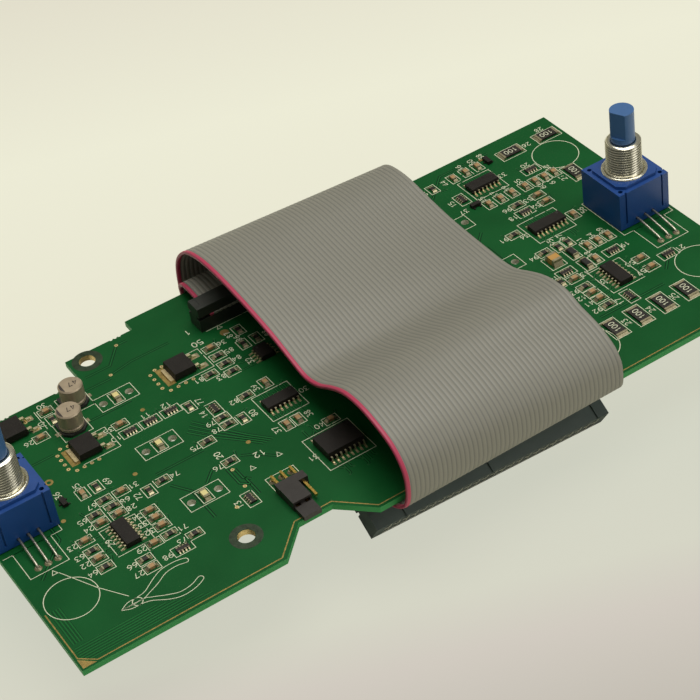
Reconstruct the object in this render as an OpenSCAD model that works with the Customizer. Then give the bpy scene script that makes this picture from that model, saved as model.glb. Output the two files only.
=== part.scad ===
// Microcontroller control board with a folded 50-way ribbon lead and two control pots.
// Origin: axis of the front mounting hole, on the underside of the board. +Z is up.

/* [Board] */
// Board width, left to right
board_w = 198; // [170:0.5:240]
// Board depth, front to back
board_d = 99.4; // [84:0.2:120]
// Board thickness
board_t = 1.6; // [1:0.1:2.4]
// Mounting hole diameter
hole_d = 4.3; // [3.2:0.1:5]
// Distance from the left edge to the mounting holes
hole_x = 48.4; // [42:0.1:54]
// Distance from the front edge to the front mounting hole
hole_front = 12; // [10:0.1:13]
// Distance from the back edge to the back mounting hole
hole_back = 7.4; // [7:0.1:9]
// Depth of the notch in the front edge
notch_depth = 8; // [5:0.5:9]
// Light pipe hole diameter
pipe_hole_d = 2.2; // [1.4:0.1:2.6]

/* [Ribbon lead] */
// Conductors in the ribbon
ways = 50; // [40:2:50]
// Conductor pitch of the ribbon
ribbon_pitch = 1.27; // [1.27:0.01:1.27]
// Ribbon thickness
ribbon_t = 0.9; // [0.6:0.05:1.1]
// Depth of the free socket's body, mating face to ribbon slot
socket_depth = 6.2; // [5.5:0.1:8]
// Thickness of the free socket
socket_t = 6.1; // [5.6:0.1:7.4]

/* [Control pots] */
// Side of the square pot housing
pot_side = 15.9; // [15:0.1:17]
// Height of the pot housing
pot_h = 11.4; // [10:0.1:14]
// Outside diameter of the pot's panel bushing
bushing_d = 9.5; // [8:0.1:11]
// Length of the bushing above the housing
bushing_l = 9.3; // [7.5:0.1:12]
// Shaft diameter
shaft_d = 6.35; // [5:0.05:6.6]
// Height of the shaft's end above the board
shaft_top = 30.6; // [27:0.2:40]

/* [Jumper] */
// Length of the shunt, handle included
shunt_l = 10; // [8:0.5:12]

/* [Hidden] */

$fn = 48;
eps = 0.01;
fit = 0.1;            // radial clearance of a lead in its plated hole
layout_w = 198;       // board size for which the component places are given
layout_d = 99.4;
header_pitch = 2.54;
contact_rows = 2;

// ---- placing -------------------------------------------------------------
// Spreads a component place, given on the layout, over the board.
function spread(p) = [p[0] * board_w / layout_w, p[1] * board_d / layout_d];

// Moves children from the board's front left corner to the part's own origin.
module from_corner() {
    translate([-hole_x, -hole_front, 0]) children();
}

// Puts children on the top face, at a layout place [x, y, turn].
module on_board(p) {
    q = spread(p);
    turn = len(p) > 2 ? p[2] : 0;
    from_corner() translate([q[0], q[1], board_t]) rotate([0, 0, turn]) children();
}

// A profile in x and z, extruded along y and centred on it.
module bar_y(length) {
    rotate([90, 0, 0]) linear_extrude(height = length, center = true) children();
}

// A square-cornered block standing on z = low, centred in x and y.
module block(size, low = 0) {
    translate([-size[0] / 2, -size[1] / 2, low]) cube(size);
}

// ---- circuit board ---------------------------------------------------------
edge_step_1 = 43.7;      // where the back edge steps out to the hole tab
edge_step_2 = 63.2;      // where it steps out to the full depth
tab_setback = 4.1;       // hole tab, in from the full depth
left_setback = 13.2;     // left part, in from the full depth
notch_left = 60;
notch_right = 69;
led_places = [[47.6, 74.5], [47.6, 52.1], [47.6, 29.7], [149.7, 74.5], [149.7, 52.1]];
pipe_offset = 3.65;      // from an LED to each of its light pipe holes

module board_outline() {
    polygon([
        [0, 0], [notch_left - notch_depth, 0], [notch_left, notch_depth],
        [notch_right, notch_depth], [notch_right + notch_depth, 0],
        [board_w, 0], [board_w, board_d], [edge_step_2, board_d],
        [edge_step_2, board_d - tab_setback], [edge_step_1, board_d - tab_setback],
        [edge_step_1, board_d - left_setback], [0, board_d - left_setback]
    ]);
}

// The snapped-off break tabs leave half-round bites along the edge.
bite_d = 0.9;
bite_pitch = 1.2;
bite_starts = [[57, tab_setback], [20.5, left_setback], [36.6, left_setback]];
bites = 3;

module break_bites() {
    for (s = bite_starts)
        for (i = [0 : bites - 1])
            translate([s[0] + i * bite_pitch, board_d - s[1] + 0.1, -eps])
                cylinder(d = bite_d, h = board_t + 2 * eps, $fn = 16);
}

module circuit_board() color("darkgreen") difference() {
    from_corner() difference() {
        linear_extrude(height = board_t) board_outline();
        for (p = [[hole_x, hole_front], [hole_x, board_d - hole_back]])
            translate([p[0], p[1], -eps]) cylinder(d = hole_d, h = board_t + 2 * eps);
        break_bites();
    }
    for (p = led_places)
        for (side = [-1, 1])
            on_board(p) translate([side * pipe_offset, 0, -board_t - eps])
                cylinder(d = pipe_hole_d, h = board_t + 2 * eps, $fn = 24);
    lead_holes();
}

module lead_holes() {
    for (x = [left_pot_x, right_pot_x])
        at_pot(x) for (i = [-1 : 1])
            translate([i * header_pitch, -pot_lead_reach, -board_t - eps])
                cylinder(r = lead_t / sqrt(2) + fit, h = board_t + 2 * eps, $fn = 20);
    for (i = [0 : 2])
        at_jumper() translate([i * header_pitch, 0, -board_t - eps])
            cylinder(r = jumper_pin / sqrt(2) + fit, h = board_t + 2 * eps, $fn = 20);
    for (i = [0 : ways / 2 - 1])
        for (j = [0 : contact_rows - 1])
            at_connector() translate([tail_x(i), tail_y(j), -board_t - eps])
                cylinder(r = tail / sqrt(2) + fit, h = board_t + 2 * eps, $fn = 16);
}

// ---- board connector: soldered in, with the ribbon crimped under its cover ---
ribbon_w = ways * ribbon_pitch;
connector_end = 3.3;                          // body past the ribbon at each end
connector_l = ribbon_w + 2 * connector_end;
connector_d = 5.6;
connector_left = 76.5;                        // from the left edge of the board
connector_back = 11.9;                        // its back face, in from the back edge
connector_base_h = 3.7;
connector_cover_t = 2.8;
latch_w = 1.6;
tail = 0.5;                                   // square contact tail
tail_drop = 2.6;

module at_connector() {
    from_corner() translate([connector_left, board_d - connector_back - connector_d, board_t])
        children();
}

function tail_x(i) = connector_end + ribbon_w / 2 + (i - (ways / 2 - 1) / 2) * header_pitch;
function tail_y(j) = connector_d / 2 + (j - 0.5) * header_pitch;

module board_connector_base() color("#22261f") at_connector() difference() {
    union() {
        cube([connector_l, connector_d, connector_base_h]);
        for (x = [0, connector_l - latch_w])     // end latches that hold the cover down
            translate([x, connector_d / 2 - 1.5, 0])
                cube([latch_w, 3, connector_base_h + ribbon_t + connector_cover_t]);
    }
    for (i = [0 : ways / 2 - 1])
        for (j = [0 : contact_rows - 1])
            translate([tail_x(i) - tail / 2 - fit, tail_y(j) - tail / 2 - fit, -eps])
                cube([tail + 2 * fit, tail + 2 * fit, connector_base_h + 2 * eps]);
}

module board_connector_cover() color("#2c302a") at_connector()
    translate([0, 0, connector_base_h + ribbon_t]) difference() {
        translate([0, connector_d / 2, 0]) rotate([90, 0, 90])
            linear_extrude(height = connector_l)
                polygon([[-connector_d / 2, 0], [connector_d / 2, 0],
                         [connector_d / 2, 1.6], [connector_d / 2 - 0.7, connector_cover_t],
                         [-connector_d / 2, connector_cover_t]]);
        for (x = [-eps, connector_l - latch_w - 0.05])
            translate([x, connector_d / 2 - 1.55, -eps])
                cube([latch_w + 0.05 + eps, 3.1, connector_cover_t + 2 * eps]);
    }

module board_connector_contacts() color("silver") at_connector()
    for (i = [0 : ways / 2 - 1])
        for (j = [0 : contact_rows - 1])
            translate([tail_x(i) - tail / 2, tail_y(j) - tail / 2, -board_t - tail_drop])
                cube([tail, tail, board_t + tail_drop + connector_base_h]);

// ---- free socket on the ribbon's other end ----------------------------------
socket_end = 2.3;                             // body past the ribbon at each end
socket_l = ribbon_w + 2 * socket_end;
socket_cover_d = 3;
socket_left = 77.6;                             // from the left edge of the board
socket_nose = [8.2, -15.6];                   // lower front edge: y from the front edge, z
socket_dip = 32;                              // mating face tipped below the level
socket_roll = 2.9;                            // right end hangs lower than the left
well = 0.9;
well_depth = 4.5;
contact_w = 0.64;

// x along the socket, y back from the mating face, z up its thickness
module at_socket() {
    from_corner() translate([socket_left, socket_nose[0], socket_nose[1]])
        rotate([socket_dip, socket_roll, 0]) children();
}

function well_x(i) = socket_end + ribbon_w / 2 + (i - (ways / 2 - 1) / 2) * header_pitch;
function well_z(j) = socket_t / 2 + (j - 0.5) * header_pitch;

module socket_body() color("#2e3a3d") at_socket() difference() {
    union() {
        cube([socket_l, socket_depth, socket_t]);
        for (x = [0, socket_l - latch_w])
            translate([x, socket_depth - eps, socket_t / 2 - 1.5])
                cube([latch_w, ribbon_t + socket_cover_d + eps, 3]);
    }
    for (i = [0 : ways / 2 - 1])
        for (j = [0 : contact_rows - 1])
            translate([well_x(i) - well / 2, -eps, well_z(j) - well / 2])
                cube([well, well_depth + eps, well]);
    // key slot in the upper face and the two moulding slots beside it
    for (x = [socket_l * 0.115, socket_l * 0.48, socket_l * 0.945])
        translate([x, -eps, socket_t - 0.4]) cube([0.6, socket_depth + 2 * eps, 0.4 + eps]);
}

module socket_cover() color("#333f42") at_socket()
    translate([0, socket_depth + ribbon_t, 0]) difference() {
        rotate([90, 0, 90]) linear_extrude(height = socket_l)
            polygon([[0, 0], [socket_cover_d - 0.8, 0], [socket_cover_d, 0.8],
                     [socket_cover_d, socket_t - 0.8], [socket_cover_d - 0.8, socket_t],
                     [0, socket_t]]);
        for (x = [-eps, socket_l - latch_w - 0.05])
            translate([x, -eps, socket_t / 2 - 1.55])
                cube([latch_w + 0.05 + eps, socket_cover_d + 2 * eps, 3.1]);
    }

module socket_contacts() color("gold") at_socket()
    for (i = [0 : ways / 2 - 1])
        for (j = [0 : contact_rows - 1])
            translate([well_x(i) - contact_w / 2, 1, well_z(j) - contact_w / 2])
                cube([contact_w, well_depth - 1, contact_w]);

// ---- ribbon ------------------------------------------------------------------
// Hand-placed points down the middle of the ribbon's thickness: y and z at the left
// edge, y and z at the right edge, then x of the left edge. y and z run from the
// board's front edge and top face.
connector_front_y = layout_d - connector_back - connector_d;
slot_z = connector_base_h + ribbon_t / 2;
ribbon_left = connector_left + connector_end;
route = [
    [connector_front_y, slot_z, connector_front_y, slot_z, ribbon_left],
    [connector_front_y + connector_d, slot_z, connector_front_y + connector_d, slot_z, ribbon_left],
    [90.5, 4.3, 90.5, 4.3, 79.8],
    [94.5, 4.5, 94.5, 4.2, 79.9],
    [98, 3.9, 98, 3.5, 80],
    [100.2, 1.9, 100.2, 1.4, 80.2],
    [100.8, -1, 100.8, -1.5, 80.5],
    [101, -4, 101, -4.5, 80.9],
    [102.4, -6.2, 102.3, -6.6, 81.4],
    [104.4, -5.4, 104.2, -5.6, 81.9],
    [105.2, -2, 105, -2.6, 82.2],
    [105.2, 2, 105, 0.8, 82.4],
    [104.2, 6, 104, 4, 82.5],
    [102, 9.6, 101.8, 7, 82.6],
    [98.4, 12.8, 98.4, 9.2, 82.7],
    [94, 14.8, 93, 10.2, 82.7],
    [87.5, 16.1, 87, 10.1, 82.7],
    [80, 16.3, 79, 8.8, 82.7],
    [71, 15.6, 70, 7.7, 82.7],
    [62, 14.4, 61, 7.3, 82.7],
    [53.5, 12.8, 53, 7.2, 82.7],
    [45, 10.4, 46, 7.2, 82.7],
    [39.5, 9.3, 40.5, 8.2, 82.7],
    [33.5, 10.9, 34.5, 10.9, 82.7],
    [27, 14.5, 28.5, 13.3, 82.7],
    [21.5, 17, 23.5, 14.3, 82.7],
    [16.5, 17.9, 19, 14.2, 82.7],
    [11.5, 17.9, 14, 12.6, 82.6],
    [6, 16.6, 9, 11.6, 82.6],
    [1.6, 14.8, 4.5, 10, 82.6],
    [-1.6, 12.2, 1, 8, 82.5],
    [-3.5, 8.8, -1, 5.4, 82.4],
    [-4, 5, -1.7, 2.8, 82.2],
    [-3.6, 1.6, -1.9, 0.6, 82],
    [-2.4, -1, -1.6, -1.4, 81.7],
    [0.4, -3, 0.8, -3.2, 81.3],
    [4, -4, 4.4, -5.2, 80.9],
    [7.4, -5.4, 7.8, -8, 80.4]
];
free = len(route);

// A point in the free socket's own axes, carried to the board's front left corner.
function in_socket(p) =
    let (c = cos(socket_dip), s = sin(socket_dip),
         y = p[1] * c - p[2] * s, z = p[1] * s + p[2] * c)
    [socket_left + p[0] * cos(socket_roll) + z * sin(socket_roll),
     socket_nose[0] + y,
     socket_nose[1] - board_t - p[0] * sin(socket_roll) + z * cos(socket_roll)];

// Direction of the left (k = 0) or right (k = 2) edge at station i, as a unit [y, z].
function along(i, k) =
    let (a = route[max(i - 1, 0)], b = route[min(i + 1, free - 1)],
         d = i < 2 ? [1, 0] : [b[k] - a[k], b[k + 1] - a[k + 1]])
    d / norm(d);
// Point at an edge, on the ribbon's one face (side -1) or its other (side 1).
function skin(i, k, side) =
    let (r = route[i], t = along(i, k))
    [r[4] + (k == 2 ? ribbon_w : 0), r[k] - t[1] * side * ribbon_t / 2,
     r[k + 1] + t[0] * side * ribbon_t / 2];
// The same two faces, in the free socket's slot at height z of its thickness.
function in_slot(z, x, side) =
    in_socket([socket_end + x, socket_depth + (1 - side) * ribbon_t / 2, z]);

ribbon_points = concat(
    [for (i = [0 : free - 1]) each [skin(i, 0, -1), skin(i, 2, -1), skin(i, 2, 1), skin(i, 0, 1)]],
    [for (z = [socket_t, 0])
        each [in_slot(z, 0, 1), in_slot(z, ribbon_w, 1), in_slot(z, ribbon_w, -1), in_slot(z, 0, -1)]]
);
last = free + 1;
ribbon_faces = concat(
    [[0, 1, 2], [0, 2, 3]],
    [for (i = [0 : last - 1], j = [0 : 3])
        each [[4 * i + j, 4 * i + 4 + j, 4 * i + (j + 1) % 4],
              [4 * i + (j + 1) % 4, 4 * i + 4 + j, 4 * i + 4 + (j + 1) % 4]]],
    [[4 * last, 4 * last + 2, 4 * last + 1], [4 * last, 4 * last + 3, 4 * last + 2]]
);

module ribbon_cable() color("#99968a") from_corner()
    translate([0, 0, board_t]) polyhedron(points = ribbon_points, faces = ribbon_faces);

// ---- control pots --------------------------------------------------------------
left_pot_x = 8.6;
right_pot_x = board_w - 8.9;
pot_y = 51.5 * board_d / layout_d;
pot_lead_reach = 17.4;                        // from the shaft's axis to the solder joints
lead_inner = 5.2;                             // from the axis to the element's front edge
rear_plate_t = 1.3;
stand_off = 0.3;
boss_h = 0.9;
boss_side = 13.4;
cavity_r = 6.4;
cavity_top = 9.6;
flange_t = 0.5;
flange_d = bushing_d + 2.6;
shaft_gap = 0.05;                             // radial running clearance in the bushing
rotor_z = 5.6;
rotor_t = 2.2;
rim_t = 0.6;
neck_r = bushing_d / 2 - 0.85;
journal_d = shaft_d - 0.75;
spigot_d = 3.6;
bushing_end = pot_h + boss_h + bushing_l;
flat_depth = 0.8;
flat_turn = 66;                               // the flat faces front left
collar_top = 1.6;                             // full-round shaft left above the bushing
rivet_d = 1.2;

module at_pot(x) {
    from_corner() translate([x, pot_y, board_t]) children();
}

module pot_housing() color("#1e4182") difference() {
    union() {
        difference() {
            block([pot_side, pot_side, pot_h - stand_off - rear_plate_t],
                  stand_off + rear_plate_t);
            // moulding grooves beside the corner posts
            for (s = [-1, 1])
                translate([s * (pot_side / 2 - 2.1) - 0.25, -pot_side / 2 - eps, 0])
                    cube([0.5, 0.4, pot_h + 1]);
            for (s = [-1, 1])
                translate([pot_side / 2 - 0.4, s * (pot_side / 2 - 2.1) - 0.25, 0])
                    cube([0.4 + eps, 0.5, pot_h + 1]);
        }
        intersection() {
            block([boss_side, boss_side, boss_h + 1], pot_h - 1);
            rotate([0, 0, 45])
                block([boss_side * 1.22, boss_side * 1.22, boss_h + 1], pot_h - 1);
        }
    }
    translate([0, 0, stand_off]) cylinder(r = cavity_r, h = cavity_top - stand_off);
    translate([0, 0, cavity_top - eps])
        cylinder(r = neck_r + 0.05, h = pot_h + boss_h - cavity_top + 1);
    rivet_holes();
    // slots in the lower edge of the front wall, over the leads
    for (i = [-1 : 1])
        translate([i * header_pitch - lead_t / 2 - fit, -pot_side / 2 - eps, 0])
            cube([lead_t + 2 * fit, pot_side / 2 - lead_inner, lead_top + lead_t / 2 + 0.05]);
}

module rivet_holes() {
    for (x = [-1, 1])
        for (y = [-1, 1])
            translate([x * (pot_side / 2 - 1.5), y * (pot_side / 2 - 1.5), 0])
                cylinder(d = rivet_d, h = pot_h + 2, $fn = 20);
}

module pot_rear_plate() color("#1b3a74") difference() {
    block([pot_side, pot_side, rear_plate_t], stand_off);
    rivet_holes();
}

// The bushing is riveted into the housing: its lower rim is rolled out under the roof.
module pot_bushing() color("#cfc9b4") difference() {
    union() {
        translate([0, 0, pot_h + boss_h]) cylinder(d = flange_d, h = flange_t);
        translate([0, 0, pot_h + boss_h]) cylinder(d = bushing_d, h = bushing_l);
        translate([0, 0, cavity_top - rim_t])
            cylinder(r = neck_r, h = pot_h + boss_h - cavity_top + rim_t + eps);
        translate([0, 0, cavity_top - rim_t]) cylinder(r = neck_r + 0.7, h = rim_t);
    }
    translate([0, 0, cavity_top - 1]) cylinder(r = journal_d / 2 + shaft_gap, h = bushing_l + 5);
}

// The shaft drops in from above: its shoulder stands just over the bushing's end, and
// the rotor clipped on its spigot keeps it from pulling out.
module pot_shaft() color("#3c5f8c") difference() {
    union() {
        translate([0, 0, rotor_z]) cylinder(d = spigot_d, h = rotor_t + 1);
        translate([0, 0, rotor_z + rotor_t])
            cylinder(d = journal_d, h = bushing_end + 0.1 - rotor_z - rotor_t);
        translate([0, 0, bushing_end + 0.1]) cylinder(d = shaft_d, h = shaft_top - bushing_end - 0.1);
    }
    rotate([0, 0, -flat_turn])
        translate([-shaft_d, -shaft_d - shaft_d / 2 + flat_depth, bushing_end + collar_top])
            cube([2 * shaft_d, shaft_d, shaft_top]);
}

module pot_rotor() color("#d6d2c4") translate([0, 0, rotor_z]) difference() {
    cylinder(r = cavity_r - 0.4, h = rotor_t);
    translate([0, 0, -eps]) cylinder(d = spigot_d, h = rotor_t + 2 * eps);
}

// Spring wiper under the rotor: it turns with the shaft and rubs on the element.
wiper_t = 0.3;
element_t = 0.8;
element_top = stand_off + rear_plate_t + element_t;

module pot_wiper() color("#b08a4a") difference() {
    union() {
        translate([0, 0, rotor_z - wiper_t]) cylinder(r = 3, h = wiper_t);
        translate([-0.7, 2, element_top + 0.05]) cube([1.4, 2.8, wiper_t]);
        translate([-0.7, 2, element_top + 0.05])
            cube([1.4, wiper_t, rotor_z - element_top - 0.05]);
    }
    translate([0, 0, rotor_z - 1]) cylinder(r = 1.2, h = 2);
}

module pot_element() color("#33302b")
    translate([0, 0, stand_off + rear_plate_t]) difference() {
        cylinder(r = cavity_r - 0.1, h = element_t);
        translate([0, 0, -eps]) cylinder(r = 1.5, h = element_t + 2 * eps);
        translate([-cavity_r, -cavity_r - lead_inner, -eps])
            cube([2 * cavity_r, cavity_r, element_t + 2 * eps]);
    }

// Three flat leads lie on the rear plate, leave the front of the housing, slope down
// and drop into the board. Path of one: y forwards of the shaft's axis, then z.
lead_t = 0.7;
lead_top = stand_off + rear_plate_t + lead_t / 2;
lead_path = [
    [lead_inner, lead_top], [8.6, lead_top], [9.8, lead_top - 0.1], [15.8, 1.05],
    [pot_lead_reach - 0.4, 0.85], [pot_lead_reach, 0.45], [pot_lead_reach, -board_t - 1.2]
];

// Unit direction of a path at point i.
function path_way(path, i) =
    let (a = path[max(i - 1, 0)], b = path[min(i + 1, len(path) - 1)]) (b - a) / norm(b - a);
// A path of points thickened into a closed band.
function band(path, t) = [
    for (i = [0 : len(path) - 1])
        path[i] + [-path_way(path, i)[1], path_way(path, i)[0]] * t / 2,
    for (i = [len(path) - 1 : -1 : 0])
        path[i] - [-path_way(path, i)[1], path_way(path, i)[0]] * t / 2
];

module pot_leads() color("silver")
    for (i = [-1 : 1])
        translate([i * header_pitch, 0, 0]) rotate([90, 0, -90])
            linear_extrude(height = lead_t, center = true) polygon(band(lead_path, lead_t));

// ---- jumper ---------------------------------------------------------------------
jumper_x = 62.3;
jumper_y = 23.3;
jumper_pin = 0.64;
jumper_pin_z = 1.4;
jumper_base_front = 3.5;                     // from the tails to the base's back face
jumper_base_d = 2.5;
pin_reach = 11.7;                            // from the tails to the pin tips
shunt_t = 2.5;
shunt_w = 2 * header_pitch - 0.1;

module at_jumper() {
    q = spread([jumper_x, jumper_y]);
    from_corner() translate([q[0], q[1], board_t]) children();
}

module jumper_base() color("#2a2522") at_jumper() difference() {
    translate([-header_pitch / 2, -jumper_base_front - jumper_base_d, 0])
        cube([3 * header_pitch, jumper_base_d, 2.54]);
    for (i = [0 : 2])
        translate([i * header_pitch - jumper_pin / 2 - 0.02,
                   -jumper_base_front - jumper_base_d - eps, jumper_pin_z - jumper_pin / 2 - 0.02])
            cube([jumper_pin + 0.04, jumper_base_d + 2 * eps, jumper_pin + 0.04]);
}

module jumper_pins() color("#d9b84a") at_jumper()
    for (i = [0 : 2])
        translate([i * header_pitch - jumper_pin / 2, 0, 0]) {
            translate([0, -jumper_pin / 2, -board_t - 1.4])
                cube([jumper_pin, jumper_pin, board_t + 1.4 + jumper_pin_z + jumper_pin / 2]);
            translate([0, -pin_reach, jumper_pin_z - jumper_pin / 2])
                cube([jumper_pin, pin_reach, jumper_pin]);
        }

// The shunt bridges the first two pins and has a low handle past their tips.
shunt_back = jumper_base_front + jumper_base_d + 0.1;
shunt_block = pin_reach - shunt_back + 0.1;

module at_shunt() {
    at_jumper() translate([header_pitch / 2, -shunt_back, 0.15]) children();
}

module shunt_cap() color("#2b2724") at_shunt() difference() {
    union() {
        translate([-shunt_w / 2, -shunt_block, 0]) cube([shunt_w, shunt_block, shunt_t]);
        translate([-shunt_w / 2 + 0.15, -shunt_l, 0])
            cube([shunt_w - 0.3, shunt_l - shunt_block + eps, 1.3]);
    }
    // pin passages, with room for the clip
    for (s = [-1, 1])
        translate([s * header_pitch / 2 - 0.65, -shunt_block - 0.4,
                   jumper_pin_z - 0.15 - 0.65])
            cube([1.3, shunt_block + 0.4 + eps, 1.3]);
}

module shunt_clip() color("#c9a13c") at_shunt()
    for (s = [-1, 1])
        for (side = [-1, 1])
            translate([s * header_pitch / 2 - 0.5,
                       -shunt_block + 0.6,
                       jumper_pin_z - 0.15 + side * (jumper_pin / 2 + 0.17) - 0.15])
                cube([1, shunt_block - 1.2, 0.3]);

// ---- electrolytic capacitors ------------------------------------------------------
can_places = [[34, 71.8], [38.6, 79.8]];
can_d = 6.3;
can_h = 6;
can_base_t = 0.8;
can_base = 6.6;

module electrolytic_cans() color("#c8c4b6")
    for (p = can_places)
        on_board(p) translate([0, 0, can_base_t]) rotate_extrude()
            polygon([[0, 0], [can_d / 2 - 0.2, 0], [can_d / 2, 0.3], [can_d / 2, 0.9],
                     [can_d / 2 - 0.25, 1.15], [can_d / 2, 1.4],
                     [can_d / 2, can_h - can_base_t - 0.3],
                     [can_d / 2 - 0.3, can_h - can_base_t], [0, can_h - can_base_t]]);

module electrolytic_bases() color("#1c1c1a")
    for (p = can_places)
        on_board(p) linear_extrude(height = can_base_t)
            polygon([[-can_base / 2, -can_base / 2 + 1.5], [-can_base / 2 + 1.5, -can_base / 2],
                     [can_base / 2 - 1.5, -can_base / 2], [can_base / 2, -can_base / 2 + 1.5],
                     [can_base / 2, can_base / 2], [-can_base / 2, can_base / 2]]);

// ---- voltage regulators --------------------------------------------------------------
regulator_places = [[21.3, 79.6], [32.8, 62.3], [65, 72.8]];
reg_l = 6.1;
reg_w = 6.5;
reg_h = 2.3;
reg_tab_t = 0.5;

module regulator_bodies() color("#232019")
    for (p = regulator_places)
        on_board(p) translate([0, 0, reg_tab_t]) bar_y(reg_w)
            polygon([[-reg_l / 2, 0], [reg_l / 2, 0], [reg_l / 2 + 0.1, 0.5],
                     [reg_l / 2 - 0.1, reg_h - reg_tab_t], [-reg_l / 2 + 0.3, reg_h - reg_tab_t]]);

module regulator_tabs() color("#c8b27a")
    for (p = regulator_places)
        on_board(p) translate([-reg_l / 2 - 1.1, -2.65, 0]) cube([6.2, 5.3, reg_tab_t]);

module regulator_legs() color("silver")
    for (p = regulator_places)
        for (y = [-2.28, 2.28])
            on_board(p) translate([0, y, 0]) bar_y(0.8) polygon([
                [reg_l / 2 + 0.1, 0.95], [reg_l / 2 + 0.9, 0.95], [reg_l / 2 + 1.4, 0],
                [reg_l / 2 + 2.7, 0], [reg_l / 2 + 2.7, 0.5], [reg_l / 2 + 1.75, 0.5],
                [reg_l / 2 + 1.25, 1.4], [reg_l / 2 + 0.1, 1.4]]);

// ---- logic chips ------------------------------------------------------------------------
// place, turn, legs a side, body width, height and span over the legs
leg_pitch = 1.27;
chips = [
    [[27, 30.5, 0], 7, 3.9, 1.5, 6],
    [[78.4, 46.2, 90], 7, 3.9, 1.5, 6],
    [[81.3, 24, 90], 8, 7.5, 2.4, 10.3],
    [[166.4, 84.9, 90], 7, 3.9, 1.5, 6],
    [[168.7, 58.9, 90], 8, 3.9, 1.5, 6],
    [[169.2, 30.5, 0], 7, 3.9, 1.5, 6],
    [[84.6, 64.3, 0], 4, 3.9, 1.5, 6]
];
chip_lift = 0.1;

// A moulded chip body: the ends and long sides draft away from the leg line.
module chip_body(legs, w, h) {
    length = legs * leg_pitch - 0.2;
    mid = (h + chip_lift) / 2;
    bar_y(length) polygon([[-w / 2 + 0.1, chip_lift], [w / 2 - 0.1, chip_lift], [w / 2, mid],
                           [w / 2 - 0.2, h], [-w / 2 + 0.2, h], [-w / 2, mid]]);
}

// One gull-wing leg, drawn outwards along +x from the body's side.
module gull_leg(w, h, span, width) {
    mid = (h + chip_lift) / 2;
    bar_y(width) polygon([
        [w / 2, mid - 0.1], [w / 2 + 0.28, mid - 0.1], [span / 2 - 0.75, 0], [span / 2, 0],
        [span / 2, 0.22], [span / 2 - 0.6, 0.22], [w / 2 + 0.42, mid + 0.1],
        [w / 2 - 0.02, mid + 0.1], [w / 2, mid]]);
}

module leg_rows(legs, w, h, span, pitch, width) {
    for (side = [0, 180])
        rotate([0, 0, side])
            for (i = [0 : legs - 1])
                translate([0, (i - (legs - 1) / 2) * pitch, 0]) gull_leg(w, h, span, width);
}

module logic_chips() color("#1f1c18")
    for (c = chips) on_board(c[0]) chip_body(c[1], c[2], c[3]);

module logic_chip_legs() color("#c9c2a4")
    for (c = chips) on_board(c[0]) leg_rows(c[1], c[2], c[3], c[4], leg_pitch, 0.42);

// ---- microcontroller, under the ribbon ----------------------------------------------------
mcu_place = [119, 56];
mcu_side = 14;
mcu_h = 1.5;
mcu_span = 16.4;
mcu_legs = 20;
mcu_pitch = 0.65;

module microcontroller() color("#1c1a18")
    on_board(mcu_place) {
        block([mcu_side, mcu_side, mcu_h - chip_lift], chip_lift);
    }

module microcontroller_legs() color("#c9c2a4")
    on_board(mcu_place) for (turn = [0, 90])
        rotate([0, 0, turn]) leg_rows(mcu_legs, mcu_side + 0.04, mcu_h, mcu_span, mcu_pitch, 0.3);

crystal_place = [104, 60, 90];

// Low-profile crystal: an oval can on two leads turned under it.
module crystal_can() color("#b9b9b4") on_board(crystal_place) hull()
    for (s = [-1, 1]) translate([s * 3.35, 0, 0]) cylinder(d = 4.3, h = 3.6, $fn = 32);

// ---- chip components --------------------------------------------------------------------------
// [x, y, turn]: long side along x at turn 0
chip_capacitor_places = [
    [18.5, 34.8, 0], [18.4, 27.8, 0], [35, 33.8, 0], [35, 30.8, 0], [35, 27.7, 0],
    [26.7, 17.4, 0], [30.8, 23.8, 0], [24.2, 37.6, 0], [28.9, 37.6, 0], [32.8, 43.9, 0],
    [25.2, 49.2, 90], [43.7, 64.9, 0], [26.2, 73.6, 0], [31.4, 81.5, 0],
    [75, 75.1, 0], [79, 54.5, 90], [75.2, 37.9, 90], [78.4, 37.9, 90], [84.3, 32.5, 0],
    [162.2, 92.6, 90], [166.4, 92.7, 90], [170.3, 92.7, 90],
    [162.7, 76.5, 90], [166.5, 76.5, 90], [170.3, 76.5, 90], [174.6, 76.5, 90],
    [178, 76.5, 90], [181.1, 76.5, 90], [184.2, 76.5, 90],
    [174.8, 71.1, 0], [174.8, 67.4, 0], [176.6, 57.9, 90],
    [171.2, 44.8, 90], [174.5, 44.8, 90], [177.8, 44.8, 90], [169.4, 39.1, 90],
    [160.4, 36.3, 0], [160.4, 29, 0], [160.4, 26, 0], [178, 31.8, 0], [178, 27.3, 0]
];
chip_resistor_places = [
    [18.5, 24.3, 0], [18.4, 30.8, 0], [26.7, 20.6, 0], [35.1, 24, 0], [39.6, 20.3, 0],
    [24.2, 40.7, 0], [28.9, 40.7, 0], [28.3, 43.9, 0], [28.9, 49.2, 90], [38.1, 39.7, 90],
    [42.2, 40.7, 0], [58, 35.8, 0], [57.2, 45.4, 0], [64.3, 50.4, 0], [64.3, 47.4, 0],
    [68.1, 46.9, 90], [60, 59.3, 90], [72.8, 53.5, 0], [31.4, 77.6, 90],
    [75, 71.2, 0], [75, 67.4, 0], [75, 63.6, 0], [70, 66.2, 0],
    [84.2, 76.6, 90], [82.4, 70.9, 90], [86.2, 70.9, 90],
    [155.2, 92.4, 90], [168, 71.1, 0], [159.7, 61.2, 0], [161, 49.9, 0],
    [165.2, 49.4, 90], [168.3, 49.4, 90], [160.4, 32, 0], [160.4, 22.6, 0], [157, 37.3, 90]
];
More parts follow.
